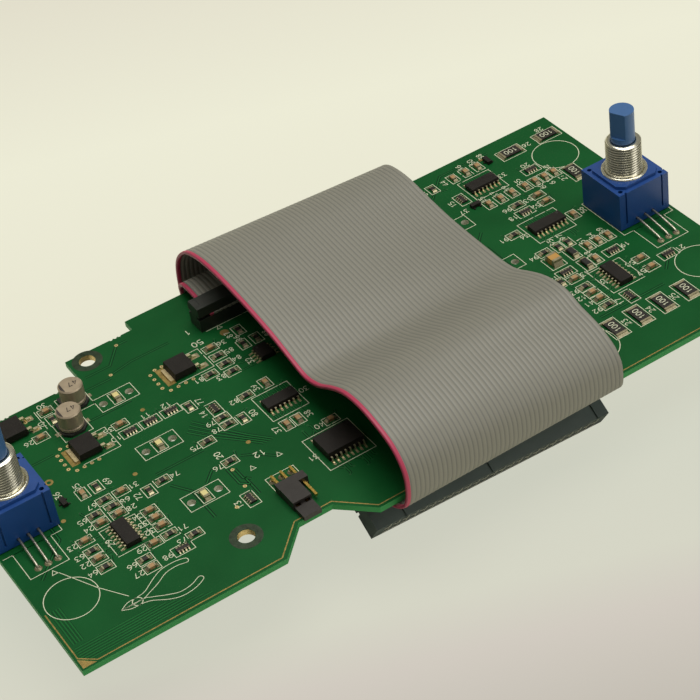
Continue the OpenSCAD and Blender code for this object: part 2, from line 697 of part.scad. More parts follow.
resistor_array_places = [
    [44.4, 61, 0], [50, 61, 0], [55.8, 61, 0], [64.5, 54.5, 90], [55.4, 21.8, 90], [35.1, 18, 0],
    [180.3, 81.6, 0], [167.8, 67.3, 0], [158.5, 83.2, 90], [174.8, 39, 0], [160.4, 39.8, 0],
    [184.4, 28.5, 0], [166.6, 21.8, 90]
];
// long side along x at turn 0; the front row stands on the other turn
power_resistor_places = [
    [181, 91.9, 0], [193.2, 91.9, 0], [188.4, 72.8, 90],
    [156, 14.4, 90], [163.5, 14.4, 90], [171, 14.4, 90], [178.5, 14.4, 90]
];
chip_size = [2, 1.25, 0.85];
resistor_h = 0.5;
cap_metal = 0.4;
array_size = [3.2, 1.6, 0.5];
power_size = [6.2, 3.2, 0.6];

module end_capped(size, metal) {
    block([size[0] - 2 * metal, size[1] - 0.06, size[2] - 0.03]);
    for (s = [-1, 1])
        translate([s * (size[0] - metal) / 2, 0, 0]) block([metal, size[1], size[2]]);
}

module chip_capacitors() color("#a8875c")
    for (p = chip_capacitor_places) on_board(p) end_capped(chip_size, cap_metal);

module chip_resistors() color("#26221e")
    for (p = chip_resistor_places)
        on_board(p) end_capped([chip_size[0], chip_size[1], resistor_h], cap_metal);

// Four resistors in one chip: the long sides carry scalloped end metal.
module resistor_arrays() color("#2a241e")
    for (p = resistor_array_places)
        on_board(p) difference() {
            block(array_size);
            for (i = [-1 : 1])
                for (s = [-1, 1])
                    translate([i * 0.8, s * array_size[1] / 2, -eps])
                        cylinder(d = 0.3, h = array_size[2] + 2 * eps, $fn = 16);
        }

module power_resistors() color("#2b2520")
    for (p = power_resistor_places) on_board(p) end_capped(power_size, 0.6);

// Small three-leg transistors.
module small_transistors() color("#1d1b19")
    for (p = [[20.2, 49.2, 90], [173.7, 92.7, 90], [159.6, 78.4, 0]])
        on_board(p) {
            block([2.9, 1.3, 0.95], 0.1);
            for (leg = [[-0.95, -1], [0.95, -1], [0, 1]])
                translate([leg[0] - 0.2, leg[1] > 0 ? 0.64 : -1.25, 0]) cube([0.4, 0.61, 0.3]);
        }

module rectifier_diodes() color("#191715")
    for (p = [[166.3, 44.9, 90], [166.3, 39, 90]])
        on_board(p) end_capped([3.6, 1.6, 1.1], 0.4);

module tantalum_capacitor() color("#b98b52")
    on_board([160.7, 45.2, 90]) end_capped([3.5, 2.8, 1.9], 0.8);

module status_leds() color("#d8c070")
    for (p = led_places) on_board([p[0], p[1], 90]) end_capped([3, 1.5, 1.1], 0.7);

// Solder round the pot leads and the jumper's tails, on the top face.
module solder_cone(side) {
    difference() {
        cylinder(r1 = 0.95, r2 = 0.6, h = 0.4, $fn = 24);
        block([side + 0.04, side + 0.04, 1], -0.1);
    }
}

module lead_solder() color("#b8b4a6") {
    for (x = [left_pot_x, right_pot_x])
        for (i = [-1 : 1])
            at_pot(x) translate([i * header_pitch, -pot_lead_reach, 0]) solder_cone(lead_t);
    for (i = [0 : 2])
        at_jumper() translate([i * header_pitch, 0, 0]) solder_cone(jumper_pin);
}

// ---- the part --------------------------------------------------------------------
circuit_board();
board_connector_base();
board_connector_cover();
board_connector_contacts();
ribbon_cable();
socket_body();
socket_cover();
socket_contacts();
at_pot(left_pot_x) pot_housing();  // left_pot_housing
at_pot(left_pot_x) pot_rear_plate();  // left_pot_rear_plate
at_pot(left_pot_x) pot_bushing();  // left_pot_bushing
at_pot(left_pot_x) pot_shaft();  // left_pot_shaft
at_pot(left_pot_x) pot_rotor();  // left_pot_rotor
at_pot(left_pot_x) pot_wiper();  // left_pot_wiper
at_pot(left_pot_x) pot_element();  // left_pot_element
at_pot(left_pot_x) pot_leads();  // left_pot_leads
at_pot(right_pot_x) pot_housing();  // right_pot_housing
at_pot(right_pot_x) pot_rear_plate();  // right_pot_rear_plate
at_pot(right_pot_x) pot_bushing();  // right_pot_bushing
at_pot(right_pot_x) pot_shaft();  // right_pot_shaft
at_pot(right_pot_x) pot_rotor();  // right_pot_rotor
at_pot(right_pot_x) pot_wiper();  // right_pot_wiper
at_pot(right_pot_x) pot_element();  // right_pot_element
at_pot(right_pot_x) pot_leads();  // right_pot_leads
jumper_base();
jumper_pins();
shunt_cap();
shunt_clip();
electrolytic_cans();
electrolytic_bases();
regulator_bodies();
regulator_tabs();
regulator_legs();
logic_chips();
logic_chip_legs();
microcontroller();
microcontroller_legs();
crystal_can();
chip_capacitors();
chip_resistors();
resistor_arrays();
power_resistors();
small_transistors();
rectifier_diodes();
tantalum_capacitor();
status_leds();
lead_solder();
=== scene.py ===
"""Looks of a control circuit board with a folded ribbon lead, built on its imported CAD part."""
import math
import bpy
import numpy as np
from mathutils import Matrix, Vector


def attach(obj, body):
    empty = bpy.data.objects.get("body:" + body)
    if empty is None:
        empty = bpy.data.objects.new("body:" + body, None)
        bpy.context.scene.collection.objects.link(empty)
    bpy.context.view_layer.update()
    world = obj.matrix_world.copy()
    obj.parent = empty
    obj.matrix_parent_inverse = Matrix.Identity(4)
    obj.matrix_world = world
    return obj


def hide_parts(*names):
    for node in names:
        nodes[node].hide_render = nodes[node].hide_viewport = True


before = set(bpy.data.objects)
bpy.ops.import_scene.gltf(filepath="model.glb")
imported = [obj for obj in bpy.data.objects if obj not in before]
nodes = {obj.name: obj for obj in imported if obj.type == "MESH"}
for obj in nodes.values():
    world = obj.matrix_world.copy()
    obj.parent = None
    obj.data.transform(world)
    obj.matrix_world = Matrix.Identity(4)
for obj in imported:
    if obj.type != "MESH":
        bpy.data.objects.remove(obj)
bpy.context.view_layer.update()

# ---- camera
# A long lens on the board's front left, looking 40 degrees down. The camera is rolled a
# little, so the board's front edge runs up to the right.
eye = Vector((-0.12413, -0.31289, 0.33232))
heading = math.radians(26.76)
tilt = math.radians(50.0)
roll = math.radians(-9.34)
camera_data = bpy.data.cameras.new("camera")
camera_data.sensor_width = 36
camera_data.lens = 106.53
camera_data.clip_start = 0.01
camera_data.clip_end = 20
camera = bpy.data.objects.new("camera", camera_data)
bpy.context.scene.collection.objects.link(camera)
camera.matrix_world = (Matrix.Translation(eye) @ Matrix.Rotation(-heading, 4, "Z")
                       @ Matrix.Rotation(tilt, 4, "X") @ Matrix.Rotation(roll, 4, "Z"))
bpy.context.scene.camera = camera
bpy.context.scene.view_settings.view_transform = "Standard"


# ---- studio
# A seamless pale sweep under one big soft light, with a weaker one from the front right. The
# sweep glows to the camera in a warm cream with painted shade that falls off nearer by, and
# lights the object as paper does.
floor_z = -0.0192
floor_half = 2.2
sweep_rise = 1.4
sweep_radius = 0.5
profile = [(-floor_half, floor_z)]
for k in range(13):
    turn = math.radians(90 * k / 12)
    profile.append((floor_half - sweep_radius + sweep_radius * math.sin(turn),
                    floor_z + sweep_radius - sweep_radius * math.cos(turn)))
profile.append((floor_half, floor_z + sweep_rise))
sweep_points = [(side * floor_half, y, z) for y, z in profile for side in (-1, 1)]
sweep_faces = [(2 * i, 2 * i + 1, 2 * i + 3, 2 * i + 2) for i in range(len(profile) - 1)]
sweep_mesh = bpy.data.meshes.new("sweep")
sweep_mesh.from_pydata(sweep_points, [], sweep_faces)
sweep_mesh.shade_smooth()
sweep = bpy.data.objects.new("sweep", sweep_mesh)
bpy.context.scene.collection.objects.link(sweep)


def linear(red, green, blue):
    """A display colour of 0 to 255, as the linear colour that shaders take."""
    values = []
    for c in (red, green, blue):
        c = c / 255
        values.append(c / 12.92 if c <= 0.04045 else ((c + 0.055) / 1.055) ** 2.4)
    return (*values, 1)


paper = bpy.data.materials.new("paper")
paper.use_nodes = True
tree = paper.node_tree
tree.nodes.clear()
paper_out = tree.nodes.new("ShaderNodeOutputMaterial")
seen = tree.nodes.new("ShaderNodeLightPath")
matt = tree.nodes.new("ShaderNodeBsdfDiffuse")
matt.inputs["Color"].default_value = linear(236, 235, 218)
glow = tree.nodes.new("ShaderNodeEmission")
place = tree.nodes.new("ShaderNodeTexCoord")
parts = tree.nodes.new("ShaderNodeVectorMath")
parts.operation = "DOT_PRODUCT"
parts.inputs[1].default_value = (0.353, 0.935, 0)
tree.links.new(place.outputs["Object"], parts.inputs[0])
fall = tree.nodes.new("ShaderNodeMapRange")
fall.inputs["From Min"].default_value = -0.06
fall.inputs["From Max"].default_value = 0.30
tree.links.new(parts.outputs["Value"], fall.inputs["Value"])
# Painted shade: the glow's colour darkens along this ramp towards the camera.
shade = tree.nodes.new("ShaderNodeValToRGB")
shade.color_ramp.elements[0].color = linear(190, 184, 175)
shade.color_ramp.elements[1].color = linear(225, 221, 203)
for position, colour in ((0.08, (206, 199, 190)), (0.13, (211, 211, 196)),
                         (0.22, (209, 211, 196)), (0.48, (232, 230, 209)),
                         (0.72, (236, 235, 214))):
    shade.color_ramp.elements.new(position).color = linear(*colour)
tree.links.new(fall.outputs[0], shade.inputs["Fac"])
tree.links.new(shade.outputs[0], glow.inputs["Color"])
mix = tree.nodes.new("ShaderNodeMixShader")
share = tree.nodes.new("ShaderNodeMath")
share.operation = "MULTIPLY"
share.inputs[1].default_value = 0.92
tree.links.new(seen.outputs["Is Camera Ray"], share.inputs[0])
tree.links.new(share.outputs[0], mix.inputs["Fac"])
tree.links.new(matt.outputs[0], mix.inputs[1])
tree.links.new(glow.outputs[0], mix.inputs[2])
tree.links.new(mix.outputs[0], paper_out.inputs["Surface"])
sweep_mesh.materials.append(paper)

world = bpy.data.worlds.new("studio")
world.use_nodes = True
world.node_tree.nodes["Background"].inputs["Color"].default_value = linear(232, 231, 218)
world.node_tree.nodes["Background"].inputs["Strength"].default_value = 0.3
bpy.context.scene.world = world


def soft_light(name, place, target, size, power, colour):
    """A square area light aimed at a point."""
    data = bpy.data.lights.new(name, "AREA")
    data.size = size
    data.energy = power
    data.color = colour
    light = bpy.data.objects.new(name, data)
    bpy.context.scene.collection.objects.link(light)
    light.location = place
    aim = Vector(target) - Vector(place)
    light.rotation_euler = aim.to_track_quat("-Z", "Y").to_euler()


soft_light("top_light", (0.2, 0.1, 1.25), (0.05, 0.04, 0), 1.0, 15.0, (1.0, 0.98, 0.92))
soft_light("front_light", (0.8, -0.9, 0.7), (0.05, 0.04, 0), 0.7, 3.5, (1.0, 0.98, 0.93))


# ---- circuit board
# Fibreglass with a green solder mask on both faces. The sawn edges show the paler laminate.
# The mask darkens in soft patches. The board is the CAD mesh; only its finish is made here.
hole_x = 48.4
hole_front = 12.0
hole_back = 92.0
board_w = 198.0
board_d = 99.4
board_t = 1.6
mask_green = linear(12, 76, 34)
laminate_green = linear(52, 134, 74)
mask_specular = 0.12


def make_grain_group():
    """Breaks up a flat colour and its gloss with coarse noise, and gives a normal from fine noise."""
    group = bpy.data.node_groups.new("grain", "ShaderNodeTree")
    for name, kind in (("Colour", "NodeSocketColor"), ("Roughness", "NodeSocketFloat"),
                       ("Mottle", "NodeSocketFloat"), ("Scale", "NodeSocketFloat"),
                       ("Bump", "NodeSocketFloat")):
        group.interface.new_socket(name, in_out="INPUT", socket_type=kind)
    for name, kind in (("Colour", "NodeSocketColor"), ("Roughness", "NodeSocketFloat"),
                       ("Normal", "NodeSocketVector")):
        group.interface.new_socket(name, in_out="OUTPUT", socket_type=kind)
    tree = group.nodes
    link = group.links.new
    given = tree.new("NodeGroupInput")
    out = tree.new("NodeGroupOutput")
    place = tree.new("ShaderNodeTexCoord")
    coarse = tree.new("ShaderNodeTexNoise")
    coarse.inputs["Detail"].default_value = 4
    link(place.outputs["Object"], coarse.inputs["Vector"])
    link(given.outputs["Scale"], coarse.inputs["Scale"])
    fine_scale = tree.new("ShaderNodeMath")
    fine_scale.operation = "MULTIPLY"
    fine_scale.inputs[1].default_value = 9
    link(given.outputs["Scale"], fine_scale.inputs[0])
    fine = tree.new("ShaderNodeTexNoise")
    link(place.outputs["Object"], fine.inputs["Vector"])
    link(fine_scale.outputs[0], fine.inputs["Scale"])
    swing = tree.new("ShaderNodeMapRange")
    swing.inputs["To Min"].default_value = -1
    swing.inputs["To Max"].default_value = 1
    link(coarse.outputs["Fac"], swing.inputs["Value"])
    amount = tree.new("ShaderNodeMath")
    amount.operation = "MULTIPLY_ADD"
    amount.inputs[2].default_value = 1
    link(swing.outputs[0], amount.inputs[0])
    link(given.outputs["Mottle"], amount.inputs[1])
    tint = tree.new("ShaderNodeHueSaturation")
    link(given.outputs["Colour"], tint.inputs["Color"])
    link(amount.outputs[0], tint.inputs["Value"])
    link(tint.outputs[0], out.inputs["Colour"])
    gloss = tree.new("ShaderNodeMath")
    gloss.operation = "MULTIPLY"
    gloss.use_clamp = True
    link(given.outputs["Roughness"], gloss.inputs[0])
    link(amount.outputs[0], gloss.inputs[1])
    link(gloss.outputs[0], out.inputs["Roughness"])
    bump = tree.new("ShaderNodeBump")
    bump.inputs["Distance"].default_value = 0.0001
    link(given.outputs["Bump"], bump.inputs["Strength"])
    link(fine.outputs["Fac"], bump.inputs["Height"])
    link(bump.outputs[0], out.inputs["Normal"])
    return group


grain_group = make_grain_group()


def finish(name, colour, roughness, metal=0.0, mottle=0.12, scale=400.0, bump=0.15, specular=0.5):
    """A material: the principled shader fed by the grain group."""
    material = bpy.data.materials.new(name)
    material.use_nodes = True
    tree = material.node_tree
    shader = tree.nodes["Principled BSDF"]
    grain = tree.nodes.new("ShaderNodeGroup")
    grain.name = "grain"
    grain.node_tree = grain_group
    grain.inputs["Colour"].default_value = colour
    grain.inputs["Roughness"].default_value = roughness
    grain.inputs["Mottle"].default_value = mottle
    grain.inputs["Scale"].default_value = scale
    grain.inputs["Bump"].default_value = bump
    shader.inputs["Metallic"].default_value = metal
    shader.inputs["Specular IOR Level"].default_value = specular
    tree.links.new(grain.outputs["Colour"], shader.inputs["Base Color"])
    tree.links.new(grain.outputs["Roughness"], shader.inputs["Roughness"])
    tree.links.new(grain.outputs["Normal"], shader.inputs["Normal"])
    return material


def paint(material, *names):
    """Gives CAD nodes this material."""
    for name in names:
        nodes[name].data.materials.clear()
        nodes[name].data.materials.append(material)


def row(points):
    """Millimetres from the board's front left corner and top face, as metres in the row frame."""
    shifted = np.asarray(points, float) + (-hole_x, -hole_front, board_t)
    return shifted / 1000


def piece(name, points, faces, material, body="board", slot=None, smooth=False):
    """A mesh piece with its points in millimetres on the board, riding on a CAD body."""
    mesh = bpy.data.meshes.new(name)
    mesh.from_pydata([tuple(p) for p in row(points)], [], [tuple(f) for f in faces])
    mesh.validate()
    if smooth:
        mesh.shade_smooth()
    mesh.materials.append(material)
    shown = bpy.data.objects.new(name, mesh)
    bpy.context.scene.collection.objects.link(shown)
    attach(shown, body)
    return shown


mask = finish("mask", mask_green, 0.42, mottle=0.3, scale=60, bump=0.05, specular=mask_specular)


def show_laminate(material):
    """Mixes in the laminate colour where a face stands upright."""
    tree = material.node_tree
    geometry = tree.nodes.new("ShaderNodeNewGeometry")
    split = tree.nodes.new("ShaderNodeSeparateXYZ")
    tree.links.new(geometry.outputs["True Normal"], split.inputs[0])
    flat = tree.nodes.new("ShaderNodeMath")
    flat.operation = "ABSOLUTE"
    tree.links.new(split.outputs["Z"], flat.inputs[0])
    side = tree.nodes.new("ShaderNodeMath")
    side.operation = "LESS_THAN"
    side.inputs[1].default_value = 0.5
    tree.links.new(flat.outputs[0], side.inputs[0])
    blend = tree.nodes.new("ShaderNodeMix")
    blend.data_type = "RGBA"
    blend.inputs[7].default_value = laminate_green
    shader = tree.nodes["Principled BSDF"]
    grain = tree.nodes["grain"]
    tree.links.new(side.outputs[0], blend.inputs["Factor"])
    tree.links.new(grain.outputs["Colour"], blend.inputs[6])
    tree.links.new(blend.outputs[2], shader.inputs["Base Color"])


show_laminate(mask)
paint(mask, "circuit_board")

# ---- traces
# Copper tracks under the mask: flat strips a hair above the board that show as a paler green
# with a dark gap each side. Most turn at 45 degrees. They are mitred along lines of points.
trace_green = linear(22, 92, 42)
trace_edge = linear(3, 34, 18)


def lumps(name):
    """Boxes of a CAD node's separate solids, in millimetres on the board, as rows of six."""
    mesh = nodes[name].data
    co = np.empty(len(mesh.vertices) * 3)
    mesh.vertices.foreach_get("co", co)
    co = co.reshape(-1, 3) * 1000 + (hole_x, hole_front, -board_t)
    edges = np.empty(len(mesh.edges) * 2, int)
    mesh.edges.foreach_get("vertices", edges)
    edges = edges.reshape(-1, 2)
    _, same = np.unique(np.round(co, 3), axis=0, return_inverse=True)
    same = same.reshape(-1)
    a, b = same[edges[:, 0]], same[edges[:, 1]]
    label = np.arange(same.max() + 1)
    changed = True
    while changed:
        low = np.minimum(label[a], label[b])
        before = label.copy()
        np.minimum.at(label, a, low)
        np.minimum.at(label, b, low)
        label = label[label]
        changed = bool((label != before).any())
    owner = label[same]
    return np.array([np.r_[co[owner == k].min(0), co[owner == k].max(0)]
                     for k in np.unique(owner)])


def middle(box):
    """The x and y of a box's centre."""
    return (box[0] + box[3]) / 2, (box[1] + box[4]) / 2


def long_axis(box):
    """0 where a box is longer along x, 1 where it is not."""
    return 0 if box[3] - box[0] > box[4] - box[1] else 1


def strip(points, width, z, closed=False):
    """Points and faces of a flat mitred strip along a line of [x, y] points."""
    line = np.asarray(points, float)
    fresh = np.linalg.norm(line - np.roll(line, 1, axis=0), axis=1) > 1e-6
    fresh[0] = fresh[0] or not closed
    line = line[fresh]
    ahead = np.roll(line, -1, axis=0) - line
    behind = line - np.roll(line, 1, axis=0)
    if not closed:
        ahead[-1] = behind[-1]
        behind[0] = ahead[0]
    ahead /= np.linalg.norm(ahead, axis=1)[:, None]
    behind /= np.linalg.norm(behind, axis=1)[:, None]
    across = ahead + behind
    across /= np.maximum(np.linalg.norm(across, axis=1)[:, None], 1e-6)
    stretch = 1 / np.maximum((across * ahead).sum(1), 0.5)
    side = np.c_[-across[:, 1], across[:, 0]] * (stretch * width / 2)[:, None]
    count = len(line)
    points = np.r_[line + side, line - side]
    points = np.c_[points, np.full(2 * count, z)]
    last = count if closed else count - 1
    faces = [(i, count + i, count + (i + 1) % count, (i + 1) % count) for i in range(last)]
    return points, faces


def disc(x, y, outer, inner, z, sides=20):
    """Points and faces of a flat ring, or of a full disc where inner is 0."""
    turn = np.arange(sides) * 2 * math.pi / sides
    rim = np.c_[x + outer * np.cos(turn), y + outer * np.sin(turn), np.full(sides, z)]
    if inner == 0:
        return rim, [tuple(range(sides))]
    hub = np.c_[x + inner * np.cos(turn), y + inner * np.sin(turn), np.full(sides, z)]
    faces = [(i, (i + 1) % sides, sides + (i + 1) % sides, sides + i) for i in range(sides)]
    return np.r_[rim, hub], faces


def plate(x0, y0, x1, y1, z):
    """Points and faces of a flat rectangle."""
    return [(x0, y0, z), (x1, y0, z), (x1, y1, z), (x0, y1, z)], [(0, 1, 2, 3)]


def gather(shapes):
    """One list of points and one of faces from several shapes."""
    points = []
    faces = []
    for shape_points, shape_faces in shapes:
        start = len(points)
        points.extend(tuple(p) for p in shape_points)
        faces.extend(tuple(start + i for i in f) for f in shape_faces)
    return points, faces


chip_boxes = lumps("logic_chips")
leg_boxes = lumps("logic_chip_legs")
small_boxes = np.concatenate([lumps(n) for n in
                              ("chip_capacitors", "chip_resistors", "resistor_arrays")])
trace_z = 0.012
trace_edge_z = 0.006
edge_gap = 1.2
tracks = [
    [(43, 38), (46, 33), (46, 22)], [(61, 36), (64, 34), (68, 30)],
    [(50, 33), (53, 36), (56, 36)], [(56, 34), (56, 28), (58, 26)],
    [(57.6, 33), (57.6, 29), (59, 27.6)], [(58, 29), (58, 22)], [(42, 43.5), (55, 43.5)],
    [(50.5, 83), (57, 84.3), (68, 84.3)], [(45, 86.3), (52, 86.3), (57, 92.4), (60, 92.4)],
    [(42, 81.8), (50, 81.8)], [(38, 71), (50, 71)], [(10, 84), (24, 84), (28, 80)],
    [(4, 78), (12, 78), (16, 74)], [(20, 66), (26, 66)], [(5, 30), (14, 39), (14, 44)],
    [(150, 30), (150, 64), (154, 68)], [(151.4, 30), (151.4, 62)], [(156, 20), (176, 20)],
    [(180, 24), (186, 30), (186, 34)], [(150, 86), (160, 96), (176, 96)]
]
bus = [[(55 + 0.9 * k, 51.5 + 0.9 * k), (59 + 0.9 * k, 46 + 0.6 * k), (63.5 + 0.9 * k, 41),
        (67.5 + 0.9 * k, 36)] for k in range(4)]
hatch = [[(1.5, 2.2 + 0.75 * k), (34 - 2 * k, 2.2 + 0.75 * k)] for k in range(7)]
hatch += [[(2.0 + 0.75 * k, 8), (2.0 + 0.75 * k, 20)] for k in range(4)]
stubs = []
stub_ends = []
for k, box in enumerate(leg_boxes):
    mx, my = middle(box)
    chip_x, chip_y = min((middle(chip) for chip in chip_boxes),
                         key=lambda place: math.hypot(place[0] - mx, place[1] - my))
    reach = 1.2 + 0.9 * (k * 7 % 5)
    lean = (k * 3 % 5 - 2) * 0.5
    if long_axis(box) == 0:
        out = math.copysign(1, mx - chip_x)
        end = (mx + out * (1.2 + reach), my + lean)
        bend = (end[0] - out * abs(lean), my)
    else:
        out = math.copysign(1, my - chip_y)
        end = (mx + lean, my + out * (1.2 + reach))
        bend = (mx, end[1] - out * abs(lean))
    stubs.append([(mx, my), bend, end])
    stub_ends.append(end)
for k, box in enumerate(small_boxes):
    mx, my = middle(box)
    reach = 1.6 + 0.5 * (k * 5 % 4)
    way = -1 if k % 2 else 1
    if long_axis(box) == 0:
        end = (mx + way * 2.6, my + reach)
        stubs.append([(mx + way * 1.0, my), (mx + way * 1.9, my + 0.5), end])
    else:
        end = (mx + reach, my + way * 2.6)
        stubs.append([(mx, my + way * 1.0), (mx + 0.5, my + way * 1.9), end])
    stub_ends.append(end)


def on_copper(x, y):
    """Whether a place lies on the board, clear of its edges, notches and mounting holes."""
    if not edge_gap < x < board_w - edge_gap or not edge_gap < y < board_d - edge_gap:
        return False
    if x < 44.5 and y > 85.2 or 43 < x < 64 and y > 94.4:
        return False
    if 50 < x < 79 and y < 10:
        return False
    return all(math.hypot(x - hole_x, y - hole_y) > 4.6 for hole_y in (hole_front, hole_back))


stubs = [s for s in stubs if all(on_copper(*p) for p in s)]
vias = [e for e in stub_ends if on_copper(*e)]
widths = [(tracks, 0.34, 0.5), (bus, 0.4, 0.4), (hatch, 0.4, 0.2), (stubs, 0.3, 0.4)]
trace_shapes = [strip(line, width, trace_z) for lines, width, gap in widths for line in lines]
edge_shapes = [strip(line, width + gap, trace_edge_z)
               for lines, width, gap in widths for line in lines]
mask_trace = finish("mask_trace", trace_green, 0.4, mottle=0.25, scale=70, bump=0.05,
                    specular=mask_specular)
mask_edge = finish("mask_edge", trace_edge, 0.5, mottle=0.25, scale=70, bump=0.05,
                   specular=mask_specular)
piece("traces", *gather(trace_shapes), mask_trace, slot="solder_mask")
piece("trace_edges", *gather(edge_shapes), mask_edge, slot="solder_mask")

# ---- vias
# Small plated spots, covered by the mask where tracks change side, and bare gold in rows round
# the voltage regulators, where they carry heat down. Flat discs with a smaller dark one on top,
# which is painted shade standing in for the bore.
via_z = 0.03
gold_vias = [(26.4, 59 + 2 * k) for k in range(4)] + [(27.9 + 2 * k, 57.3) for k in range(4)]
gold_vias += [(28, 66.8), (30, 66.5)]
gold_vias += [(58.2, 69.8 + 2.1 * k) for k in range(4)] + [(59.5 + 2.15 * k, 67.7) for k in range(4)]
gold_vias += [(60, 77.2), (62, 77.2), (25.7, 83.2), (25.6, 81.2), (25.7, 78.9), (27, 82), (27, 77.2)]
gold_vias += [(57, 33), (56.5, 26.3), (51.5, 21.5), (57, 92.4), (50.5, 83)]
via_gold = finish("via_gold", linear(214, 190, 134), 0.4, metal=0.7, mottle=0.3)
# Painted shade: a dark green disc stands in for the shade inside each via's bore.
via_bore_shade = finish("via_bore_shade", linear(10, 26, 16), 0.6)
via_shapes = [disc(x, y, 0.5, 0, via_z, 14) for x, y in gold_vias]
piece("gold_vias", *gather(via_shapes), via_gold, slot="gold_contact")
covered_shapes = [disc(x, y, 0.36, 0, via_z, 12) for x, y in vias]
piece("masked_vias", *gather(covered_shapes), mask_trace, slot="solder_mask")
dot_shapes = [disc(x, y, 0.17, 0, via_z + 0.01, 10) for x, y in gold_vias + vias]
piece("via_holes", *gather(dot_shapes), via_bore_shade, slot="solder_mask")

# ---- bare copper
# Gold-plated metal with no mask: the border track inside the front edge and round the notch,
# tab pads of the regulators, test pads, and the ground rings round the mounting holes.
bare_z = 0.02
border = [(0.8, 20), (0.8, 3.9), (4.3, 0.9), (51.3, 0.9), (59.4, 8.9), (69.5, 8.9), (77.3, 0.9),
          (197, 0.9)]
bare_shapes = [strip(border, 0.3, bare_z)]
bare_shapes += [plate(27.5, 59, 29.8, 65.5, bare_z), plate(59.7, 69.3, 62, 76.7, bare_z),
                plate(15.6, 76.4, 18.2, 82.8, bare_z), disc(20.6, 58, 1.1, 0.5, bare_z),
                disc(81, 78.2, 1.2, 0, bare_z)]
bare_shapes.append(([(0.5, 0.5, bare_z), (3.9, 0.5, bare_z), (0.5, 3.6, bare_z)], [(0, 1, 2)]))
bare_shapes += [disc(x, y, 0.6, 0, bare_z) for x, y in
                [(64.8, 38.8), (38.2, 47), (17.5, 44), (50.5, 66), (172.8, 94.7), (148, 12.5)]]
pad_gold = finish("pad_gold", linear(150, 128, 74), 0.45, metal=0.8, mottle=0.4, scale=900)
piece("bare_copper", *gather(bare_shapes), pad_gold, slot="gold_contact")
ring_shapes = [disc(hole_x, y, 4.0, 2.2, bare_z, 40) for y in (hole_front, hole_back)]
ring_metal = finish("ring_metal", linear(38, 54, 34), 0.42, metal=0.3, mottle=0.7, scale=900)
piece("hole_rings", *gather(ring_shapes), ring_metal, slot="gold_contact")

# ---- hole walls
# The plated walls of the two mounting holes and the pale bare walls of the light-pipe holes:
# open tubes that face inwards, just inside the drilled holes.
def tube_wall(x, y, radius, sides):
    """Points and faces of an open tube through the board, facing its own axis."""
    turn = np.arange(sides) * 2 * math.pi / sides
    ring = np.c_[x + radius * np.cos(turn), y + radius * np.sin(turn)]
    points = np.r_[np.c_[ring, np.full(sides, -board_t)], np.c_[ring, np.full(sides, 0.005)]]
    faces = [((i + 1) % sides, i, sides + i, sides + (i + 1) % sides) for i in range(sides)]
    return points, faces


led_places = [(47.6, 74.5), (47.6, 52.1), (47.6, 29.7), (149.7, 74.5), (149.7, 52.1)]
bare_wall = finish("bare_wall", linear(206, 206, 186), 0.5)
piece("mount_hole_walls",
      *gather([tube_wall(hole_x, y, 2.13, 40) for y in (hole_front, hole_back)]),
      via_gold, slot="gold_contact", smooth=True)
piece("pipe_hole_walls", *gather([tube_wall(x + side * 3.65, y, 1.08, 24)
                                  for x, y in led_places for side in (-1, 1)]),
      bare_wall, slot="solder_mask", smooth=True)

# ---- solder pads
# Tinned pads with a fillet up each end of the small parts, and a pad under every chip leg.
# The fillets are wedges; the pads are flat plates.
end_pad_z = 0.016
leg_pad_z = 0.014
wide_pad_z = 0.02
foot_reach = 0.5        # how far a fillet runs out past the end of its part
foot_edge = 0.07        # height of the fillet's outer edge
climb = 0.62            # how far up the part's end a fillet climbs, as a share of its height
end_pad_l = 0.62
solder = finish("solder", linear(158, 150, 122), 0.42, metal=0.85, mottle=0.3, scale=1200)


def fillet(box, axis, way):
    """A solder wedge at one end of a part: from near the top of its end down to the pad."""
    low, high = box[:3], box[3:]
    end = high[axis] if way > 0 else low[axis]
    other = 1 - axis
    a, b = low[other] + 0.06, high[other] - 0.06
    rise = 0.03 + climb * (high[2] - low[2])
    foot = end + way * foot_reach
    near = end - way * 0.02
    corners = []
    for side in (a, b):
        for reach, height in ((near, wide_pad_z), (foot, wide_pad_z), (foot, foot_edge), (near, rise)):
            point = [0, 0, height]
            point[axis] = reach
            point[other] = side
            corners.append(tuple(point))
    faces = [(0, 1, 2, 3), (7, 6, 5, 4), (3, 2, 6, 7), (2, 1, 5, 6), (1, 0, 4, 5)]
    if (way > 0) == (axis == 0):
        faces = [f[::-1] for f in faces]
    return corners, faces


solder_shapes = []
for name in ("chip_capacitors", "chip_resistors", "power_resistors", "rectifier_diodes",
             "tantalum_capacitor", "status_leds"):
    for box in lumps(name):
        axis = long_axis(box)
        for way in (-1, 1):
            solder_shapes.append(fillet(box, axis, way))
            pad = box.copy()
            pad[1 - axis] -= 0.12
            pad[4 - axis] += 0.12
            end = box[3 + axis] if way > 0 else box[axis]
            pad[axis] = min(end, end + way * end_pad_l)
            pad[3 + axis] = max(end, end + way * end_pad_l)
            solder_shapes.append(plate(pad[0], pad[1], pad[3], pad[4], end_pad_z))
for box in lumps("resistor_arrays"):
    axis = long_axis(box)
    for i in range(4):
        mid = (box[axis] + box[3 + axis]) / 2 + (i - 1.5) * 0.8
        for way in (-1, 1):
            end = box[4 - axis] if way > 0 else box[1 - axis]
            tab = np.zeros(6)
            tab[axis] = mid - 0.22
            tab[3 + axis] = mid + 0.22
            tab[1 - axis] = end - 0.3
            tab[4 - axis] = end
            tab[5] = box[5]
            if way < 0:
                tab[1 - axis] = end
                tab[4 - axis] = end + 0.3
            solder_shapes.append(plate(tab[0], tab[1], tab[3], tab[4], box[5] + 0.01))
            solder_shapes.append(fillet(tab, 1 - axis, way))
for box in leg_boxes:
    grow = (0.35, 0.08) if long_axis(box) == 0 else (0.08, 0.35)
    solder_shapes.append(plate(box[0] - grow[0], box[1] - grow[1],
                               box[3] + grow[0], box[4] + grow[1], leg_pad_z))
